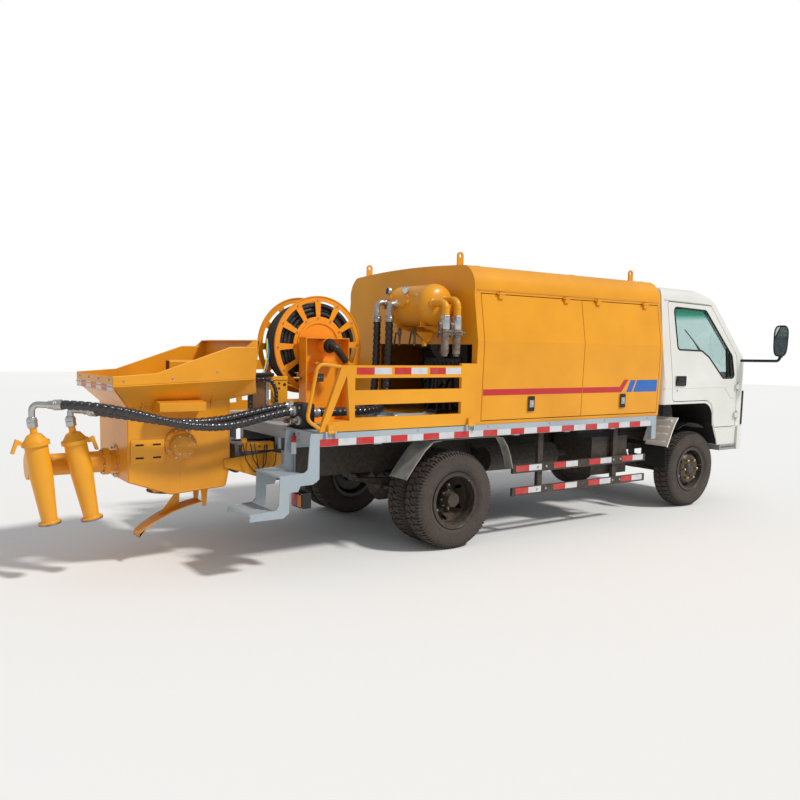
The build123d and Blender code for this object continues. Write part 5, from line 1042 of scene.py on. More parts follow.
def arch_wave(travelled, angle):
    """The arch hose's guard swells once every 30 mm."""
    return 0.0135 + 0.0045 * max(0.0, math.sin(2 * math.pi * travelled / 0.03 + angle))


piece = Piece()
piece.bar((-1.515, -0.412, 1.322), (-1.204, -0.388, 1.353), 0.003)
piece.plate([(-1.342, 1.149), (-1.204, 1.149), (-1.204, 1.34), (-1.342, 1.34)], -0.406, -0.398)
piece.bar((-1.210, -0.406, 1.06), (-1.204, -0.352, 1.35), 0.001)
piece.bar((-1.30, -0.404, 1.06), (-1.235, -0.396, 1.16), 0.001)
for z in (1.30, 1.262):
    piece.rod((-1.275, -0.4065, z), (-1.275, -0.4005, z), 0.009, 16, slot=3)
piece.rod((-1.23, -0.4065, 1.29), (-1.23, -0.4005, 1.29), 0.013, 20, slot=3)
# the cover sheet: yellow paint coloured brown, as painted shade
piece.bar((-1.492, -0.408, 1.095), (-1.385, -0.34, 1.318), 0.004, slot=1)
piece.bar((-1.488, -0.430, 1.352), (-1.325, -0.36, 1.378), 0.006, slot=3)
for x in (-1.508, -1.369):
    piece.bar((x - 0.012, -0.404, 1.05), (x + 0.012, -0.380, 1.322), 0.002, slot=2)
    piece.nut((x, -0.404, 1.29), (0, -1, 0), 0.007, 0.006, slot=2)
for x, z in ((-1.526, 1.10), (-1.316, 1.14)):
    piece.bar((x - 0.02, -0.46, z - 0.055), (x + 0.02, -0.396, z - 0.02), 0.003, slot=2)
    piece.rod((x, -0.44, z - 0.03), (x, -0.44, z + 0.02), 0.020, 6, slot=2)
    piece.rod((x - 0.05, -0.43, z - 0.04), (x, -0.43, z - 0.04), 0.014, 16, slot=2)
arch = curved([(-1.526, -0.44, 1.115), (-1.526, -0.44, 1.25), (-1.49, -0.44, 1.335), (-1.36, -0.44, 1.335),
               (-1.316, -0.44, 1.25), (-1.316, -0.44, 1.155)], 0.10, 0.01)
piece.tube(evenly(arch, 0.004), 0.015, 14, slot=4, wave=arch_wave)
# pivot block over the support, drilled twice
for x in (-1.42, -1.36):
    piece.rod((x, -0.377, 0.83), (x, -0.36, 0.83), 0.008, 12, slot=3)
piece.bar((-1.52, -0.375, 0.80), (-1.30, -0.30, 0.86), 0.004)
piece.rod((-1.545, -0.375, 0.80), (-1.545, -0.375, 0.90), 0.012, 14)
piece.bar((-1.565, -0.39, 0.865), (-1.525, -0.36, 0.90), 0.004)
# thin cables that hang below the valves
for x0, x1, low in ((-1.56, -1.36, 0.62), (-1.50, -1.28, 0.60), (-1.47, -1.38, 0.53)):
    run = [(x0, -0.39, 0.86), (x0 + 0.02, -0.40, 0.74), ((x0 + x1) / 2, -0.41, low),
           (x1 - 0.02, -0.40, 0.70), (x1, -0.385, 0.84)]
    piece.tube(curved(run, 0.06, 0.012), 0.004, 6, slot=4)
# brown tones that stand for the cover's yellow paint in shade: painted shade
cover_in_painted_shade = grained("cover sheet, yellow paint in painted shade", ["#6B4A2E", "#7E5937"], (0.4, 0.6), 40.0, 0.08)
piece.done("valve_stand", "truck", yellow, cover_in_painted_shade, galvanised, black_plastic, hose_black,
           slot="yellow_paint")

# Mixer drives: hydraulic motors bolted to flanged housings on both ends of the agitator's shaft.
# The housings are the CAD's own; plated cover bolts and two port unions are set on them.
piece = Piece()
for side, reach in ((-1, 0.44), (1, 0.58)):
    piece.nut_ring((shaft_x, side * (reach - 0.001), shaft_z), (0, side, 0), 0.068, 6, 0.008, 0.010)
for x in (shaft_x - 0.035, shaft_x + 0.035):
    piece.rod((x, 0.5, 0.955), (x, 0.5, 0.99), 0.016, 6)
piece.done("mixer_drive_bolts", "truck", galvanised, slot="bare_steel")

# Spray converters: cast yellow cones screwed to the manifold; the hexagon unions,
# a raised band on each cone and the worn bare rims of the outlet flanges are set on the CAD's cones.
converters = ((-2.981, 1.062, -2.886, 0.392), (-2.745, 1.062, -2.619, 0.396))
piece = Piece()
for nx, nz, fx, fz in converters:
    top = Vector((nx, -0.3, nz))
    foot = Vector((fx, -0.3, fz))
    d = (foot - top).normalized()
    piece.lathe(top, d, [(-0.004, 0.0), (-0.004, 0.029), (0.0, 0.033), (0.030, 0.033), (0.034, 0.029),
                         (0.034, 0.02)], 6, slot=1)
    piece.lathe(top, d, [(0.124, 0.079), (0.128, 0.0815), (0.147, 0.0815), (0.151, 0.079)], 64, slot=0)
    piece.lathe(foot, d, [(-0.012, 0.0715), (-0.0115, 0.0722), (-0.001, 0.0722), (0.0005, 0.070),
                          (0.0007, 0.0345), (-0.02, 0.0345)], 56, slot=2)
    piece.lathe(foot - d * 0.0135, d, [(-0.01, 0.0505), (-0.004, 0.054), (0.0, 0.06)], 48, slot=0)
piece.done("converter_unions", "truck", yellow, galvanised, rusty, slot="yellow_paint")
piece = Piece()
flange = Vector((-2.383, -0.05, 0.745))
for reach, radius in ((-0.016, 0.105), (-0.06, 0.084), (-0.1, 0.084)):
    piece.nut_ring(flange + Vector((reach, 0, 0)), (-1, 0, 0), radius, 8, 0.008, 0.010, slot=1, start=0.25)
for nx, nz, fx, fz in converters:
    x = nx + (fx - nx) * (nz - 0.745) / (nz - fz)
    piece.lathe((x, -0.118, 0.745), (0, 1, 0), [(0, 0.046), (0.004, 0.052), (0.010, 0.052), (0.014, 0.046)],
                32)
    # bolts of the branch collars
    piece.nut_ring((x, -0.19, 0.745), (0, -1, 0), 0.05, 4, 0.007, 0.009, slot=1, start=0.5)
piece.done("manifold_bolts", "truck", yellow, galvanised, slot="yellow_paint")

# Hose elbows at the converters and the manifold on the deck: plated steel elbows with hexagon nuts and
# pressed ferrules, a cast block painted black with four unions; they replace the plain fittings.
piece = Piece()
for ends in (((-2.862, -0.40, 1.178), (-2.981, -0.30, 1.178), (-2.981, -0.30, 1.085)),
             ((-2.65, -0.42, 1.136), (-2.745, -0.30, 1.136), (-2.745, -0.30, 1.085))):
    piece.tube(curved(ends, 0.09, 0.006), 0.021, 24)
    away = (Vector(ends[0]) - Vector(ends[1])).normalized()
    piece.lathe(Vector(ends[0]) - away * 0.045, away, [(0, 0.021), (0.004, 0.026), (0.03, 0.027),
                                                       (0.04, 0.031), (0.05, 0.031)], 28)
    ferrule = [(0, 0.021), (0.003, 0.029), (0.02, 0.031), (0.024, 0.031)]
    piece.lathe(Vector(ends[2]) + Vector((0, 0, 0.012)), (0, 0, -1), ferrule, 28)
    piece.lathe(ends[2], (0, 0, -1), [(0.0, 0.030), (0.003, 0.034), (0.021, 0.034), (0.023, 0.030)], 6)
piece.bar((-1.235, -0.70, 0.985), (-1.13, -0.485, 1.165), 0.012, slot=1, steps=2)
piece.bar((-1.245, -0.72, 0.96), (-1.12, -0.47, 0.988), 0.004, slot=1)
for x, way, y, z in ((-1.24, -1, -0.59, 1.105), (-1.24, -1, -0.53, 1.14), (-1.13, 1, -0.545, 1.09),
                     (-1.13, 1, -0.66, 1.095), (-1.24, -1, -0.65, 1.04), (-1.24, -1, -0.52, 1.03)):
    piece.lathe((x - way * 0.012, y, z), (way, 0, 0), [(0, 0.0), (0, 0.036), (0.004, 0.038), (0.022, 0.038),
                                                       (0.026, 0.034), (0.026, 0.0)], 6)
for y, z in ((-0.65, 1.04), (-0.52, 1.03)):
    piece.rod((-1.25, y, z), (-1.29, y, z), 0.018, 20, slot=2, chamfer=0.003)
for y, z in ((-0.66, 1.135), (-0.66, 1.02), (-0.50, 1.07)):
    piece.nut((-1.2355, y, z), (-1, 0, 0), 0.008, 0.008)
block_black = grained("black-painted manifold block", ["#1C1C1E", "#2B2B2D"], (0.4, 0.6), 90.0, 0.2)
piece.done("hose_end_fittings", "truck", galvanised, block_black, rusty, replaces=["hose_fittings"],
           slot="bare_steel")

# Deck fittings behind the side rail: a grey valve box, a cylinder with unions and plated pipes
# along the floor, and a black junction box with cable glands. They are bolted to the deck.
piece = Piece()
piece.bar((-0.50, -0.52, 0.98), (-0.13, -0.34, 1.045), 0.006, steps=2)
piece.bar((-0.47, -0.50, 1.045), (-0.34, -0.38, 1.065), 0.004)
piece.rod((-0.36, -0.60, 1.02), (-0.02, -0.60, 1.02), 0.038, 28, chamfer=0.006)
for x in (-0.36, -0.04):
    piece.rod((x - 0.015, -0.60, 1.02), (x + 0.015, -0.60, 1.02), 0.046, 28, slot=1, chamfer=0.004)
    piece.bar((x - 0.02, -0.65, 0.962), (x + 0.02, -0.55, 0.984), 0.003)
for y, z, r in ((-0.72, 0.995, 0.014), (-0.76, 0.988, 0.011), (-0.68, 0.985, 0.009)):
    piece.tube(curved([(-1.10, y + 0.10, z), (-0.80, y, z), (-0.05, y, z), (0.10, y + 0.2, z + 0.02)], 0.2,
                      0.02), r, 12, slot=1)
piece.bar((0.06, -0.62, 0.98), (0.20, -0.48, 1.075), 0.006, slot=2)
for y in (-0.59, -0.55, -0.51):
    piece.nut((0.06, y, 1.04), (-1, 0, 0), 0.011, 0.016, slot=1)
piece.done("deck_fittings", "truck", deck_grey, galvanised, black_plastic, slot="deck_grey")

# Air hoses: rubber hose in a wound plastic spiral guard, pushed on grooved steel tails with pressed
# ferrules. Each follows one smooth curve through its route's points and replaces the plain tubes.
spiral_guard = grained("black spiral hose guard", ["#1D1D21", "#34343A"], (0.22, 0.36), 50.0, 0.1,
                       Coat_Weight=0.3)
hose_runs = [("long_hose_1", 0.028, 0.046,
              [(-1.24, -0.59, 1.105), (-1.33, -0.59, 1.105), (-1.9, -0.592, 0.975), (-2.634, -0.57, 1.192),
               (-2.862, -0.4, 1.178)]),
             ("long_hose_2", 0.028, 0.046,
              [(-1.24, -0.53, 1.14), (-1.33, -0.53, 1.14), (-1.96, -0.53, 1.015), (-2.57, -0.52, 1.132),
               (-2.65, -0.42, 1.136)]),
             ("tank_hose_1", 0.0295, 0.05,
              [(-0.28, -0.225, 1.84), (-0.28, -0.225, 1.105), (-0.56, -0.45, 1.08), (-1.02, -0.545, 1.09),
               (-1.13, -0.545, 1.09)]),
             ("tank_hose_2", 0.0295, 0.05,
              [(-0.255, -0.365, 1.84), (-0.255, -0.365, 1.13), (-0.52, -0.59, 1.085), (-1.02, -0.66, 1.095),
               (-1.13, -0.66, 1.095)])]


def smooth_route(points):
    """Points of a smooth spline that the route's points steer."""
    data = bpy.data.curves.new("route", "CURVE")
    data.dimensions = "3D"
    data.resolution_u = 24
    spline = data.splines.new("NURBS")
    spline.points.add(len(points) - 1)
    for p, place in zip(spline.points, points):
        p.co = (place[0], place[1], place[2], 1)
    spline.order_u = 3
    spline.use_endpoint_u = True
    temp = bpy.data.objects.new("route", data)
    mesh = bpy.data.meshes.new_from_object(temp)
    out = [v.co.copy() for v in mesh.vertices]
    bpy.data.objects.remove(temp)
    bpy.data.curves.remove(data)
    bpy.data.meshes.remove(mesh)
    if (out[0] - Vector(points[0])).length > (out[-1] - Vector(points[0])).length:
        out.reverse()
    return out


def guard_wave(radius, pitch):
    """The guard's strip stands proud for two thirds of each turn."""
    def at(travelled, angle):
        phase = (travelled / pitch + angle / (2 * math.pi)) % 1.0
        swell = min(1.0, max(0.0, min(phase, 0.68 - phase) / 0.07)) if phase < 0.68 else 0.0
        return radius - 0.0012 + 0.0038 * swell
    return at


for name, radius, pitch, route in hose_runs:
    line = smooth_route(route)
    piece = Piece()
    piece.tube(evenly(line, 0.0045), radius, 20, wave=guard_wave(radius, pitch))
    for end, after in ((line[0], line[1]), (line[-1], line[-2])):
        d = (after - end).normalized()
        piece.lathe(end, d, [(0.0, radius * 0.8), (0.0, radius + 0.006), (0.006, radius + 0.007),
                             (0.012, radius + 0.004), (0.018, radius + 0.007), (0.024, radius + 0.004),
                             (0.030, radius + 0.007), (0.05, radius + 0.006), (0.052, radius * 0.9)], 28,
                    slot=1)
    stands = ["air_hoses"] if name == "long_hose_1" else []
    piece.done(name, "truck", spiral_guard, galvanised, replaces=stands, slot="hose_rubber")

# Hose reel: laser-cut steel discs, a folded column and a bent swivel, in warm
# yellow enamel, with five layers of black hose wound between the discs.
def region(name, material, low, high):
    """Gives the faces of a carried-over piece inside a box another finish."""
    mesh = nodes[name].data
    mesh.materials.append(material)
    place = len(mesh.materials) - 1
    for face in mesh.polygons:
        at = face.center - Vector((rear_axle, 0, 0))
        if all(low[i] <= at[i] <= high[i] for i in range(3)):
            face.material_index = place


reel_yellow = enamel("warm yellow enamel", "#FFA31C", "#F89718", dust=0.1)
swivel_black = grained("black swivel casting", ["#1B1512", "#2E241E", "#453830"], (0.35, 0.6), 60.0, 0.3)
dress(reel_yellow, "reel_stand", "reel_drum")
region("reel_stand", swivel_black, (-0.85, -0.5, 1.40), (-0.55, -0.318, 1.66))
piece = Piece()
reel = Vector((-0.79, 0, 1.585))
hose_radius = 0.0163
turns, span = 8, 64
disc_inner = (-0.144, 0.154)
low, high = disc_inner[0] + hose_radius, disc_inner[1] - hose_radius
for layer in range(5):
    ring = 0.1925 + 0.0335 * layer
    route = []
    for n in range(turns * span + 1):
        a = 2 * math.pi * n / span
        t = n / (turns * span)
        y = low + (high - low) * (t if layer % 2 == 0 else 1 - t)
        route.append((reel.x + ring * math.cos(a), y, reel.z + ring * math.sin(a)))
    piece.tube(route, hose_radius, 10)
wound_black = grained("black rubber hose, scuffed", ["#1A1817", "#33302E", "#4A4644"], (0.4, 0.6), 60.0,
                      0.2)
piece.done("hose_coils", "reel", wound_black, replaces=["wound_hose"], slot="hose_rubber")
piece = Piece()
for y, way in ((-0.155, -1), (0.165, 1)):
    # rolled rims, spoke bolts and hub plate of the discs
    piece.lathe(reel + Vector((0, y, 0)), (0, way, 0), [(0.0, 0.199), (0.003, 0.199), (0.003, 0.178),
                                                        (0.0, 0.176)], 64)
    for n in range(12):
        a = math.radians(30 * n + 62)
        for r in (0.222, 0.365):
            foot = reel + Vector((r * math.cos(a), y + way * (0.0 if r > 0.3 else 0.0005), r * math.sin(a)))
            piece.nut(foot, (0, way, 0), 0.0055, 0.005, slot=1)
piece.done("reel_disc_bolts", "reel", reel_yellow, galvanised, slot="orange_paint")
piece = Piece()
x0, x1 = -0.99, -0.595
# the column's front cover with its bolts, a hinge line, the switch box and the brass cock
piece.bar((x0 + 0.01, -0.1995, 1.02), (x1 - 0.01, -0.198, 1.63), 0.0005)
for x in (x0 + 0.04, x1 - 0.04):
    for z in (1.60, 1.06):
        piece.nut((x, -0.1995, z), (0, -1, 0), 0.007, 0.006, slot=1)
piece.bar((-0.893, -0.256, 1.301), (-0.802, -0.248, 1.364), 0.003, slot=2)
for k in range(3):
    piece.rod((-0.87 + 0.022 * k, -0.256, 1.335), (-0.87 + 0.022 * k, -0.262, 1.335), 0.007, 16, slot=1)
piece.lathe((reel.x, -0.32, reel.z), (0, -1, 0), [(0.0, 0.03), (0.0, 0.05), (0.006, 0.052), (0.012, 0.05),
                                                  (0.024, 0.044)], 32, slot=3)
piece.nut_ring((reel.x, -0.312, reel.z), (0, -1, 0), 0.05, 6, 0.006, 0.006, slot=1)
piece.rod((-1.0, -0.24, 1.33), (-1.07, -0.24, 1.33), 0.013, 12, slot=4)
piece.rod((-1.03, -0.24, 1.33), (-1.03, -0.24, 1.37), 0.008, 12, slot=4)
piece.bar((-1.055, -0.246, 1.368), (-1.005, -0.234, 1.376), 0.002, slot=4)
# blue and yellow control wires that run from the stand's foot past the disc
for tone, y, shift in ((5, -0.10, 0.0), (6, -0.12, 0.025)):
    piece.tube(curved([(-1.37 - shift, y - 0.26, 1.378), (-1.33 - shift, y - 0.22, 1.43),
                       (-1.25 - shift, y - 0.08, 1.54), (-1.225 - shift / 2, y, 1.63)], 0.12, 0.02), 0.005,
               8, slot=tone)
wire_blue = grained("blue wire sleeve", ["#2F7CB8", "#3D8CC8"], (0.4, 0.5), 90.0, 0.05)
wire_yellow = grained("yellow wire sleeve", ["#D9C531", "#E5D345"], (0.4, 0.5), 90.0, 0.05)
piece.done("reel_stand_details", "truck", reel_yellow, galvanised, casting, black_plastic, brass, wire_blue,
           wire_yellow, slot="orange_paint")

# Rear steps: bent steel plates with folded treads in the deck's blue-grey enamel.
# They are the CAD's own; the treads carry rows of pressed grip dimples, and the
# inner plates bolt heads, a taped patch and a dark blue film.
dress(deck_grey, "rear_steps")
piece = Piece()
for side in (-1, 1):
    for rear, front, z in ((-1.552, -1.372, 0.7032), (-1.768, -1.588, 0.4622)):
        for i in range(4):
            for j in range(7):
                x = rear + 0.03 + (front - rear - 0.06) * i / 3
                y = side * (0.66 + 0.045 * j)
                piece.lathe((x, y, z), (0, 0, 1), [(0, 0.009), (0.002, 0.008), (0.003, 0.005),
                                                   (0.003, 0.0)], 10)
    for z in (0.90, 0.95):
        for y in (0.70, 0.90):
            piece.nut((-1.262, side * y, z), (-1, 0, 0), 0.009, 0.009, slot=1)
    # red and white patch on the inner face of the inner plate, and the dark plate beside it
    piece.bar((-1.30, side * 0.652, 0.885), (-1.262, side * 0.66, 0.935), 0.0, slot=2)
    piece.bar((-1.30, side * 0.652, 0.80), (-1.262, side * 0.66, 0.884), 0.0, slot=3)
    piece.bar((-1.262, side * 0.42, 0.60), (-1.256, side * 0.64, 0.955), 0.002)
    piece.bar((-1.264, side * 0.425, 0.80), (-1.261, side * 0.63, 0.895), 0.0, slot=4)
dark_film = grained("dark blue film", ["#3C4C5A", "#465766"], (0.35, 0.5), 40.0, 0.05)
piece.done("step_treads", "truck", deck_grey, galvanised, red_tape, white_tape, dark_film, slot="deck_grey")

# Tail lamps: red and amber acrylic lenses, moulded with a fine crossed rib and held by four screws, in the
# CAD's black plastic housings. The ribs are drawn about twice as coarse as real ones, so that they show.
def lens(name, tone, deep):
    """Moulded acrylic with ribs both ways under a clear face."""
    material, tree = blank(name)
    where = add(tree, "TexCoord").outputs["Object"]
    ribs = add(tree, "TexWave", {"Vector": where, "Scale": 55.0}, bands_direction="Y")
    cross_ribs = add(tree, "TexWave", {"Vector": where, "Scale": 55.0}, bands_direction="Z")
    both_ribs = add(tree, "Math", {0: ribs.outputs["Fac"], 1: cross_ribs.outputs["Fac"]},
                    operation="MULTIPLY")
    tint = add(tree, "ValToRGB", {0: both_ribs}, ramp=[(0.1, deep), (0.8, tone)])
    bump = add(tree, "Bump", {"Height": both_ribs, "Strength": 0.5, "Distance": 0.002})
    cover = add(tree, "BsdfPrincipled", {"Base Color": tint, "Roughness": 0.12, "IOR": 1.49,
                                         "Coat Weight": 0.8, "Coat Roughness": 0.05, "Normal": bump})
    add(tree, "OutputMaterial", {"Surface": cover})
    return material


red_lens = lens("red acrylic lens", "#C22019", "#8E100C")
amber_lens = lens("amber acrylic lens", "#E8881C", "#B85E0E")
clear_lens = lens("clear acrylic lens", "#D9DDDE", "#A9AFB2")
dress(black_plastic, "tail_lamps")
piece = Piece()
for side in (-1, 1):
    x = -1.355
    piece.bar((x - 0.012, side * 0.785, 0.462), (x + 0.002, side * 0.872, 0.548), 0.004)
    piece.bar((x - 0.012, side * 0.874, 0.462), (x + 0.002, side * 0.917, 0.548), 0.004, slot=1)
    for y, z in ((0.776, 0.456), (0.776, 0.554), (0.924, 0.456), (0.924, 0.554)):
        piece.nut((x, side * y, z), (-1, 0, 0), 0.004, 0.003, slot=2)
piece.done("tail_lamp_lenses", "truck", red_lens, amber_lens, galvanised, slot="lamp_lens")

# Mudguards: one grey-painted sheet a side bent over the twin wheels, liners
# over the front wheels, and behind those a white fender plate pressed with
# four ribs over a black rubber flap; they replace the plain sheets.
mud_grey = grained("grey-painted sheet, dust-streaked", ["#77736D", "#8F8B84", "#A39F97"], (0.5, 0.7), 14.0,
                   0.05)
fender_white = enamel("white fender enamel", "#F4F4F0", "#EEEEE9", dust=0.0, chips=0.1, rough=0.3,
                      chip_colour="#8A8880")
piece = Piece()
for side in (-1, 1):
    rear_line = [(-0.481, 0.589), (-0.395, 0.70), (-0.31, 0.80), (-0.227, 0.866), (-0.15, 0.872)]
    front_line = [(0.43, 0.872), (0.494, 0.862), (0.545, 0.79), (0.585, 0.70), (0.612, 0.60)]
    for line, inner in ((rear_line, 0.735), (front_line, 0.87), ([(-0.15, 0.872), (0.43, 0.872)], 0.70)):
        for (x0, z0), (x1, z1) in zip(line, line[1:]):
            along = Vector((x1 - x0, 0, z1 - z0)).normalized()
            up = Vector((along.z, 0, -along.x)) * 0.004
            outline = [(x0, z0), (x1, z1), (x1 - up.x, z1 - up.z), (x0 - up.x, z0 - up.z)]
            piece.plate(outline, *sorted((side * inner, side * 0.95)), edge=0.0)
        if len(line) > 2:
            edge = [(x, side * 0.95, z - 0.002) for x, z in line]
            piece.tube(edge, 0.006, 8)
            piece.tube([(x, side * inner, z) for x, y, z in edge], 0.006, 8)
    for x in (-0.15, 0.36):
        piece.bar((x - 0.02, side * 0.72, 0.871), (x + 0.02, side * 0.92, 0.874), 0.001)
        piece.bar((x - 0.002, side * 0.72, 0.872), (x + 0.002, side * 0.92, 0.93), 0.0)
    # liner over the front wheel with its brackets
    hub = Vector((wheelbase, 0, tyre_radius))
    for k in range(14):
        a, c = math.radians(62 + 4 * k), math.radians(66 + 4 * k)
        outline = [(hub.x + r * math.cos(t), hub.z + r * math.sin(t))
                   for r, t in ((0.470, a), (0.470, c), (0.475, c), (0.475, a))]
        piece.plate(outline, *sorted((side * 0.47, side * 0.80)), edge=0.0, slot=2)
    for x in (-0.065, 0.065):
        piece.bar((hub.x + x - 0.015, side * 0.35, 0.62), (hub.x + x + 0.015, side * 0.48, 0.66), 0.002,
                  slot=2)
        piece.bar((hub.x + x - 0.015, side * 0.455, 0.62), (hub.x + x + 0.015, side * 0.48, 0.86), 0.002,
                  slot=2)
    # fender plate: its outline curves forward to the top; the ribs stand across it
    fender = [(2.80, 0.645), (2.835, 0.72), (2.87, 0.80), (2.91, 0.875), (2.955, 0.932)]
    for (x0, z0), (x1, z1) in zip(fender, fender[1:]):
        outline = [(x0, z0), (x1, z1), (x1 + 0.004, z1 - 0.002), (x0 + 0.004, z0 - 0.002)]
        piece.plate(outline, *sorted((side * 0.56, side * 0.855)), edge=0.0, slot=1)
    piece.tube([(x + 0.003, side * 0.855, z - 0.002) for x, z in fender], 0.007, 8, slot=1)
    for x, z in ((2.823, 0.692), (2.856, 0.768), (2.889, 0.835), (2.927, 0.898)):
        piece.tube([(x - 0.003, side * 0.60, z), (x - 0.003, side * 0.62, z), (x - 0.003, side * 0.79, z),
                    (x - 0.003, side * 0.81, z)], 0.009, 10, slot=1)
    piece.bar((2.796, side * 0.56, 0.43), (2.802, side * 0.85, 0.648), 0.002, slot=2)
    piece.bar((2.79, side * 0.35, 0.64), (2.816, side * 0.60, 0.68), 0.003, slot=2)
    piece.bar((2.79, side * 0.56, 0.62), (2.816, side * 0.84, 0.643), 0.003, slot=2)
piece.done("mudguard_sheets", "truck", mud_grey, fender_white, black_plastic, replaces=["mudguards"],
           slot="chassis_black")

# Cab: pressed and welded steel in white enamel with two doors, black rubber
# seals and green-tinted glass. The shell and doors are the CAD's own; seals,
# handles, creases and drip rails are thin forms set along their outlines.
cab_white = enamel("white cab enamel", "#E6E6E1", "#DDDDD7", dust=0.12, chips=0.2, rough=0.25,
                   chip_colour="#8A8880")
dress(cab_white, "cab_shell", "cab_door_left", "cab_door_right", "front_bumper")
cab_underside = grained("black underbody coating", ["#151515", "#222120"], (0.6, 0.8), 90.0, 0.25)
region("cab_shell", cab_underside, (2.75, -0.832, 0.55), (3.64, 0.832, 1.16))
dress(grained("grey step casting", ["#8C8D8C", "#A3A4A2"], (0.5, 0.7), 120.0, 0.3), "cab_steps")
dress(black_plastic, "front_grille")
for side, word in ((-1, "right"), (1, "left")):
    inner, outer = sorted((side * 0.855, side * 0.865))
    region("cab_door_" + word, black_plastic, (2.888, inner, 1.247), (3.052, outer, 1.352))
glass, tree = blank("green-tinted safety glass")
where = add(tree, "TexCoord").outputs["Object"]
axes = add(tree, "SeparateXYZ", {0: where})
band = add(tree, "MapRange", {"Value": axes.outputs["Z"], "From Min": 1.93, "From Max": 1.99})
tint = add(tree, "Mix", {"Factor": band, "A": (0.86, 0.93, 0.92, 1), "B": (0.30, 0.68, 0.58, 1)},
           data_type="RGBA")
film_dirt = add(tree, "TexNoise", {"Vector": where, "Scale": 9.0, "Detail": 6.0})
haze = add(tree, "MapRange", {"Value": film_dirt, "From Min": 0.4, "From Max": 0.8, "To Min": 0.01,
                              "To Max": 0.06})
through = add(tree, "BsdfTransparent", {"Color": tint})
shine = add(tree, "BsdfGlossy", {"Color": (0.9, 0.95, 1.0, 1), "Roughness": haze})
edge_on = add(tree, "LayerWeight", {"Blend": 0.5})
bent = add(tree, "Math", {0: edge_on.outputs["Facing"], 1: 3.0}, operation="POWER")
mirrored = add(tree, "MapRange", {"Value": bent, "To Min": 0.04, "To Max": 0.7})
pane = add(tree, "MixShader", {0: mirrored, 1: through, 2: shine})
add(tree, "OutputMaterial", {"Surface": pane})
dress(glass, "door_glass_left", "door_glass_right", "windscreen")
window = [(2.945, 1.612), (2.897, 2.03), (3.43, 2.015), (3.875, 1.555), (3.905, 1.325), (3.70, 1.325),
          (3.465, 1.54), (3.34, 1.605)]
door = [(2.858, 1.098), (2.802, 2.08), (3.52, 2.065), (3.96, 1.56), (3.96, 0.812), (3.572, 0.812),
        (3.545, 1.098)]
cab_half, waist = 0.85, 1.2806


def cab_side(z):
    """Y of the cab's side face: upright to the waist, then leaning in to the roof."""
    if z < waist:
        return cab_half
    if z < 1.32:
        return cab_half - 0.5 * 0.094 * (z - waist) ** 2 / 0.04
    return cab_half - 0.0938 * (z - 1.29)


def round_outline(corners, radius):
    """An outline with rounded corners, as points of its two axes."""
    out = []
    count = len(corners)
    for n in range(count):
        a, b, c = (Vector((*corners[(n + k) % count], 0)) for k in (-1, 0, 1))
        u, v = (a - b).normalized(), (c - b).normalized()
        half = u.angle(v) / 2
        reach = min(radius / math.tan(half), 0.4 * (a - b).length, 0.4 * (c - b).length)
        r = reach * math.tan(half)
        middle = b + (u + v).normalized() * (r / math.sin(half))
        s, e = b + u * reach - middle, b + v * reach - middle
        sweep = s.angle(e)
        for k in range(7):
            t = k / 6
            p = middle + (s * math.sin((1 - t) * sweep) + e * math.sin(t * sweep)) / math.sin(sweep)
            out.append((p.x, p.y))
    return out


for side, word in ((-1, "right"), (1, "left")):
    body = "cab_door_" + word
    piece = Piece()
    ring = [(x, side * (cab_side(z) - 0.001), z) for x, z in round_outline(window, 0.04)]
    piece.tube(ring, 0.0085, 8, closed=True)
    # the glass run channel and quarter light post in the window's front corner
    foot_y, top_y = side * (cab_side(1.34) - 0.012), side * (cab_side(1.6) - 0.012)
    piece.tube([(3.80, foot_y, 1.335), (3.80, top_y, 1.62)], 0.014, 8)
    post_y = side * (cab_side(1.57) - 0.012)
    piece.tube([(3.86, foot_y, 1.34), (3.845, post_y, 1.57)], 0.016, 8)
    piece.done("window_seal_" + word, body, dark_gap, slot="black_plastic")
    piece = Piece()
    # the recessed pull handle: frame, dished paddle and the lock below
    piece.bar((2.892, side * 0.857, 1.254), (3.048, side * 0.8605, 1.346), 0.006, steps=2)
    piece.bar((2.91, side * 0.86, 1.295), (3.03, side * 0.866, 1.338), 0.004, slot=0)
    piece.rod((2.925, side * 0.851, 1.205), (2.925, side * 0.855, 1.205), 0.011, 20, slot=1, chamfer=0.001)
    piece.done("door_handle_" + word, body, black_plastic, galvanised, slot="black_plastic")
    # pressed feature line along the door: down from the waist to the front
    piece = Piece()
    crease = [(2.87, 1.228), (3.733, 1.228), (3.86, 1.112), (3.955, 1.109)]
    piece.tube([(x, side * 0.8488, z) for x, z in crease], 0.0045, 8)
    piece.done("door_crease_" + word, body, cab_white, slot="cab_white")
    piece = Piece()
    # door frame's seal, seen as the dark line round the door, and the drip rail over it
    ring = [(x, side * (cab_side(z) - 0.016), z) for x, z in round_outline(door, 0.05)]
    piece.tube(ring, 0.009, 8, slot=0, closed=True)
    drip = [(2.75, 2.098), (3.30, 2.09), (3.54, 2.078)]
    piece.tube([(x, side * (cab_side(z) + 0.003), z) for x, z in drip], 0.006, 8, slot=1)
    piece.tube([(2.72, side * 0.8485, 1.228), (2.846, side * 0.8485, 1.228)], 0.0045, 8, slot=1)
    # wheel-arch lip
    arch = [(3.52, 1.06), (3.545, 0.93), (3.575, 0.83), (3.62, 0.74), (3.655, 0.63)]
    piece.tube(evenly([(x, side * 0.849, z) for x, z in arch], 0.02), 0.007, 8, slot=1)
    piece.bar((3.66, side * 0.846, 0.795), (3.98, side * 0.852, 0.806), 0.002, slot=1)
    piece.done("cab_side_trim_" + word, "truck", dark_gap, cab_white, slot="cab_white")

# Windscreen trim: a black rubber seal round the raked glass and two wipers,
# each a bent steel arm with a straight blade on a short spindle.
screen = [(-0.735, 2.065), (0.735, 2.065), (0.775, 1.37), (-0.775, 1.37)]


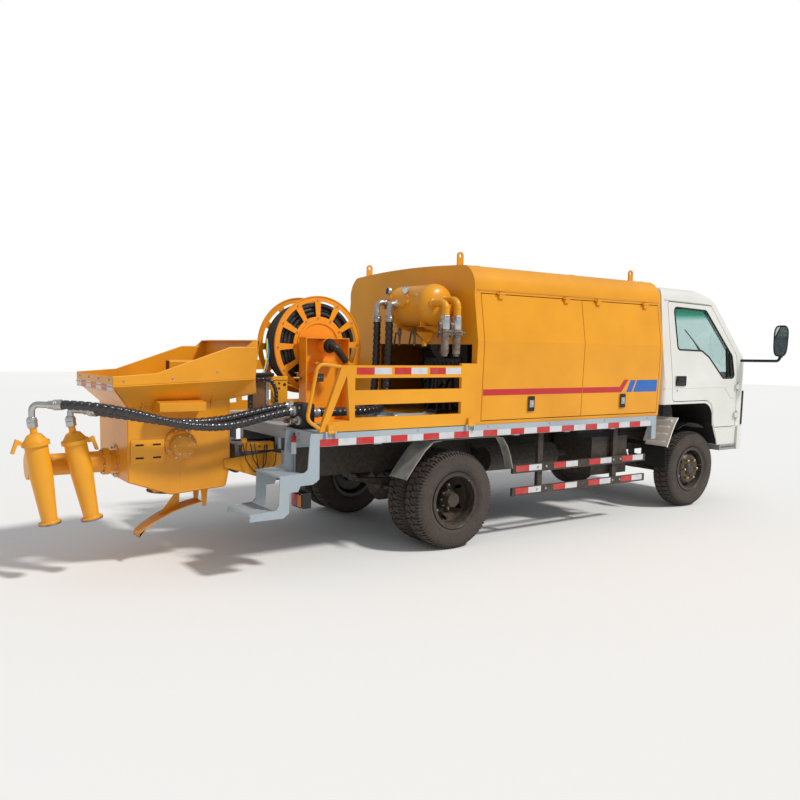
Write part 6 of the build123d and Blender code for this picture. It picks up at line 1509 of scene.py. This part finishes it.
def screen_x(z):
    """X of the windscreen's outer face at a height: the raked plane between the roof and the waist."""
    if z > 2.0:
        return 3.575 + (2.11 - z) * 0.883 - 0.006
    if z > 1.62:
        return 3.575 + (2.11 - z) * 0.883
    return 4.008 + (1.62 - z) * 0.45


piece = Piece()
ring = [(screen_x(z) + 0.002, y, z) for y, z in round_outline(screen, 0.07)]
piece.tube(ring, 0.010, 8, closed=True)
for y in (-0.42, 0.30):
    foot = Vector((screen_x(1.42) + 0.02, y, 1.40))
    tip = Vector((screen_x(1.72) + 0.018, y + 0.10, 1.72))
    piece.rod(foot - Vector((0.03, 0, 0.02)), foot, 0.012, 12)
    piece.tube([foot, tip], 0.006, 8)
    piece.tube([tip + Vector((0.14, -0.06, -0.17)), tip + Vector((-0.10, 0.05, 0.12))], 0.006, 8)
piece.done("windscreen_trim", "truck", dark_gap, slot="black_plastic")

# Front face: black plastic grille slats, headlamps with clear ribbed lenses in plated bezels,
# amber indicators, and a blank blue plate on the bumper. Housings and bumper are the CAD's own.
dress(clear_lens, "headlamps")
piece = Piece()
face_x = 4.186
for n in range(5):
    z = 0.915 + 0.032 * n
    piece.bar((face_x - 0.004, -0.46, z), (face_x + 0.0045, 0.46, z + 0.014), 0.003)
piece.bar((face_x - 0.003, -0.06, 1.125), (face_x + 0.003, 0.06, 1.175), 0.004, slot=1)
for side in (-1, 1):
    y0, y1 = sorted((side * 0.515, side * 0.745))
    piece.bar((4.178, y0, 0.893), (4.190, y1, 0.897), 0.001, slot=1)
    piece.bar((4.178, y0, 1.043), (4.190, y1, 1.047), 0.001, slot=1)
    for y in (side * 0.57, side * 0.675):
        piece.lathe((4.183, y, 0.97), (1, 0, 0), [(0, 0.062), (0.004, 0.066), (0.0075, 0.064),
                                                  (0.008, 0.058), (0.004, 0.054), (0.002, 0.0)], 40, slot=1)
    piece.bar((4.186, side * 0.50, 0.66), (4.1925, side * 0.64, 0.72), 0.004, slot=2)
piece.bar((4.188, -0.42, 0.60), (4.1925, 0.42, 0.65), 0.003)
piece.bar((4.188, -0.22, 0.675), (4.1935, 0.22, 0.785), 0.002, slot=3)
plate_blue = grained("blank number plate", ["#3566A8", "#3D6FB4"], (0.35, 0.5), 40.0, 0.05)
piece.done("front_face_details", "truck", black_plastic, galvanised, amber_lens, plate_blue,
           slot="black_plastic")
piece = Piece()
for side in (-1, 1):
    # black panel edge beside the grille, and the step's grips
    piece.bar((4.086, side * 0.79, 0.82), (4.113, side * 0.842, 1.185), 0.004, slot=0)
    for n in range(5):
        piece.bar((3.73 + 0.05 * n, side * 0.70, 0.6195), (3.752 + 0.05 * n, side * 0.84, 0.6235), 0.001,
                  slot=1)
    piece.bar((3.72, side * 0.853, 0.585), (3.97, side * 0.858, 0.60), 0.002, slot=1)
piece.done("cab_small_trim", "truck", black_plastic, casting, slot="cab_white")

# Mirrors: rounded heads moulded in black plastic on bent steel arms, with
# silvered glass set in the rim that faces the driver. Each head is turned up
# from rings of its rounded outline; both replace the plain heads.
silver = grained("silvered mirror glass", ["#B9C0C2", "#DDE2E3"], (0.02, 0.05), 6.0, 0.0, metal=1.0)
head_steps, head_wide, head_high = 48, 0.079, 0.163
head_middle = Vector((4.192, 1.158, 1.722))
mirror_layers = [(0.0, -0.010), (-0.006, -0.003), (0.0, 0.0), (0.012, 0.0), (0.034, -0.012),
                 (0.047, -0.030), (0.052, -0.055)]
piece = Piece()
for side in (-1, 1):
    b = bmesh.new()
    rings = []
    for depth, grow in [(0.004, -0.014)] + mirror_layers:
        ring = []
        for k in range(head_steps):
            a = 2 * math.pi * k / head_steps
            c, n = math.cos(a), math.sin(a)
            wide = (head_wide + grow) * math.copysign(abs(c) ** 0.55, c)
            high = (head_high + grow) * math.copysign(abs(n) ** 0.55, n)
            narrow = 1.0 - 0.10 * (0.5 - high / (2 * head_high))
            y = side * (head_middle.y + wide * narrow)
            ring.append(b.verts.new((head_middle.x + depth, y, head_middle.z + high)))
        rings.append(ring)
    for one, two in zip(rings, rings[1:]):
        for k in range(head_steps):
            b.faces.new((one[k], one[(k + 1) % head_steps], two[(k + 1) % head_steps], two[k]))
    b.faces.new(rings[-1])
    bmesh.ops.recalc_face_normals(b, faces=b.faces[:])
    b.faces.new(rings[0]).normal_update()
    piece.take(b)
    piece.mesh.faces.ensure_lookup_table()
    for face in piece.mesh.faces:
        if len(face.verts) == head_steps and face.calc_center_median().x < 4.21:
            face.material_index = 1
    # the arm leaves a rubber boot on the pillar, runs level and turns up into the head
    piece.tube(curved([(4.03, side * 0.80, 1.508), (4.215, side * 1.145, 1.512),
                       (4.218, side * 1.155, 1.60)], 0.035, 0.01), 0.0145, 14)
    piece.lathe((4.018, side * 0.778, 1.508), (0.185, side * 0.345, 0.004),
                [(0.0, 0.0), (0.0, 0.036), (0.012, 0.034), (0.02, 0.024), (0.05, 0.02), (0.05, 0.014)], 20)
    piece.rod((4.2185, side * 1.155, 1.545), (4.2185, side * 1.155, 1.585), 0.021, 16, chamfer=0.003)
piece.done("mirror_heads", "truck", black_plastic, silver, replaces=["mirrors"], slot="black_plastic")

# Cab inside: a driver's seat and a passenger bench in grey vinyl, each cushion a
# closed stuffed form with sewn grooves and piping on a steel plinth, plus
# dashboard, steering wheel and lever boots. The seats replace the plain blocks.
vinyl = grained("grey seat vinyl", ["#56585B", "#6C6F72", "#7B7E81"], (0.5, 0.65), 240.0, 0.3)
dress(grained("dark grey dashboard foam", ["#202226", "#303338"], (0.55, 0.7), 300.0, 0.3), "dashboard")
rounding = 0.028


def cushion(piece, low, high, face, crown, lean=0.0):
    """A stuffed form between two corners: rounded edges, a crowned pair of faces and two sewn grooves."""
    b = bmesh.new()
    bmesh.ops.create_cube(b, size=2.0)
    bmesh.ops.subdivide_edges(b, edges=b.edges[:], cuts=13, use_grid_fill=True)
    mid, half = (Vector(low) + Vector(high)) / 2, (Vector(high) - Vector(low)) / 2
    other = 2 if face == 0 else 0
    for vert in b.verts:
        at = vert.co.copy()
        spot = Vector([at[k] * half[k] for k in range(3)])
        core = Vector([max(rounding - half[k], min(half[k] - rounding, spot[k])) for k in range(3)])
        spot = core + (spot - core).normalized() * rounding
        bulge = (1 - at[1] ** 4) * (1 - at[other] ** 4)
        groove = 0.35 * math.exp(-((abs(at[1]) - 0.45) / 0.05) ** 2)
        spot[face] += at[face] * crown * bulge * (1 - groove)
        spot.x -= lean * at.z
        vert.co = mid + spot
    piece.take(b)


piece = Piece()
for low, high in ((0.23, 0.73), (-0.73, 0.13)):
    cushion(piece, (2.84, low, 1.150), (3.318, high, 1.262), 2, 0.030)
    cushion(piece, (2.77, low, 1.245), (2.862, high, 1.797), 0, 0.018, lean=0.015)
    piece.bar((2.85, low + 0.03, 1.07), (3.29, high - 0.03, 1.16), 0.004, slot=1)
    edge = [(2.862, low + 0.008, 1.250), (3.300, low + 0.008, 1.250), (3.310, low + 0.02, 1.250),
            (3.310, high - 0.02, 1.250), (3.300, high - 0.008, 1.250), (2.862, high - 0.008, 1.250)]
    piece.tube(edge, 0.004, 6, slot=1)
seats = piece.done("seats", "truck", vinyl, dark_gap, smooth=60, replaces=["cab_seats"], slot="cab_trim")
piece = Piece()
wheel = Vector((3.64, 0.42, 1.44))
tilt_axis = Vector((-1, 0, 1)).normalized()
u = Vector((0, 1, 0))
v = tilt_axis.cross(u)
angles = [2 * math.pi * k / 64 for k in range(64)]
grip = [wheel + (u * math.cos(a) + v * math.sin(a)) * 0.2 for a in angles]
piece.tube(grip, 0.0165, 12, closed=True)
piece.lathe(wheel + tilt_axis * 0.008, tilt_axis, [(0, 0.05), (0.008, 0.048), (0.014, 0.03), (0.014, 0.0)],
            32)
for n in range(4):
    piece.bar((3.865, -0.6 + 0.3 * n, 1.10), (3.872, -0.42 + 0.3 * n, 1.19), 0.004, slot=0)
piece.rod((3.62, 0.0, 1.108), (3.62, 0.0, 1.33), 0.011, 12)
piece.lathe((3.62, 0.0, 1.33), (0, 0, 1), [(0, 0.012), (0.01, 0.024), (0.03, 0.028), (0.05, 0.018),
                                           (0.054, 0)], 24)
piece.lathe((3.62, 0.0, 1.108), (0, 0, 1), [(0, 0.06), (0.02, 0.05), (0.03, 0.055), (0.05, 0.035),
                                            (0.06, 0.04), (0.08, 0.018)], 24)
inner_mirror = Vector((3.60, 0.0, 1.97))
piece.bar(inner_mirror - Vector((0.012, 0.12, 0.035)), inner_mirror + Vector((0.012, 0.12, 0.035)), 0.01,
          slot=0, steps=3)
piece.rod(inner_mirror, inner_mirror + Vector((0.05, 0, 0.09)), 0.006, 10)
piece.done("cab_controls", "truck", black_plastic, slot="cab_trim")

# Inner door trims: panels and armrests moulded in dark grey plastic,
# clipped to the doors, so that an open door isn't bare inside.
trim_grey = grained("dark grey moulded door trim", ["#3A3C40", "#494B50"], (0.5, 0.65), 200.0, 0.25)
for side, word in ((-1, "right"), (1, "left")):
    piece = Piece()
    piece.plate([(2.93, 1.14), (2.93, 1.30), (3.45, 1.42), (3.62, 1.27), (3.90, 1.27), (3.90, 0.86),
                 (3.60, 0.86), (3.56, 1.14)], side * 0.808, side * 0.8, edge=0.002)
    piece.bar((3.05, side * 0.80, 1.20), (3.40, side * 0.765, 1.25), 0.012, steps=2)
    piece.done("door_trim_" + word, "cab_door_" + word, trim_grey, slot="cab_trim")
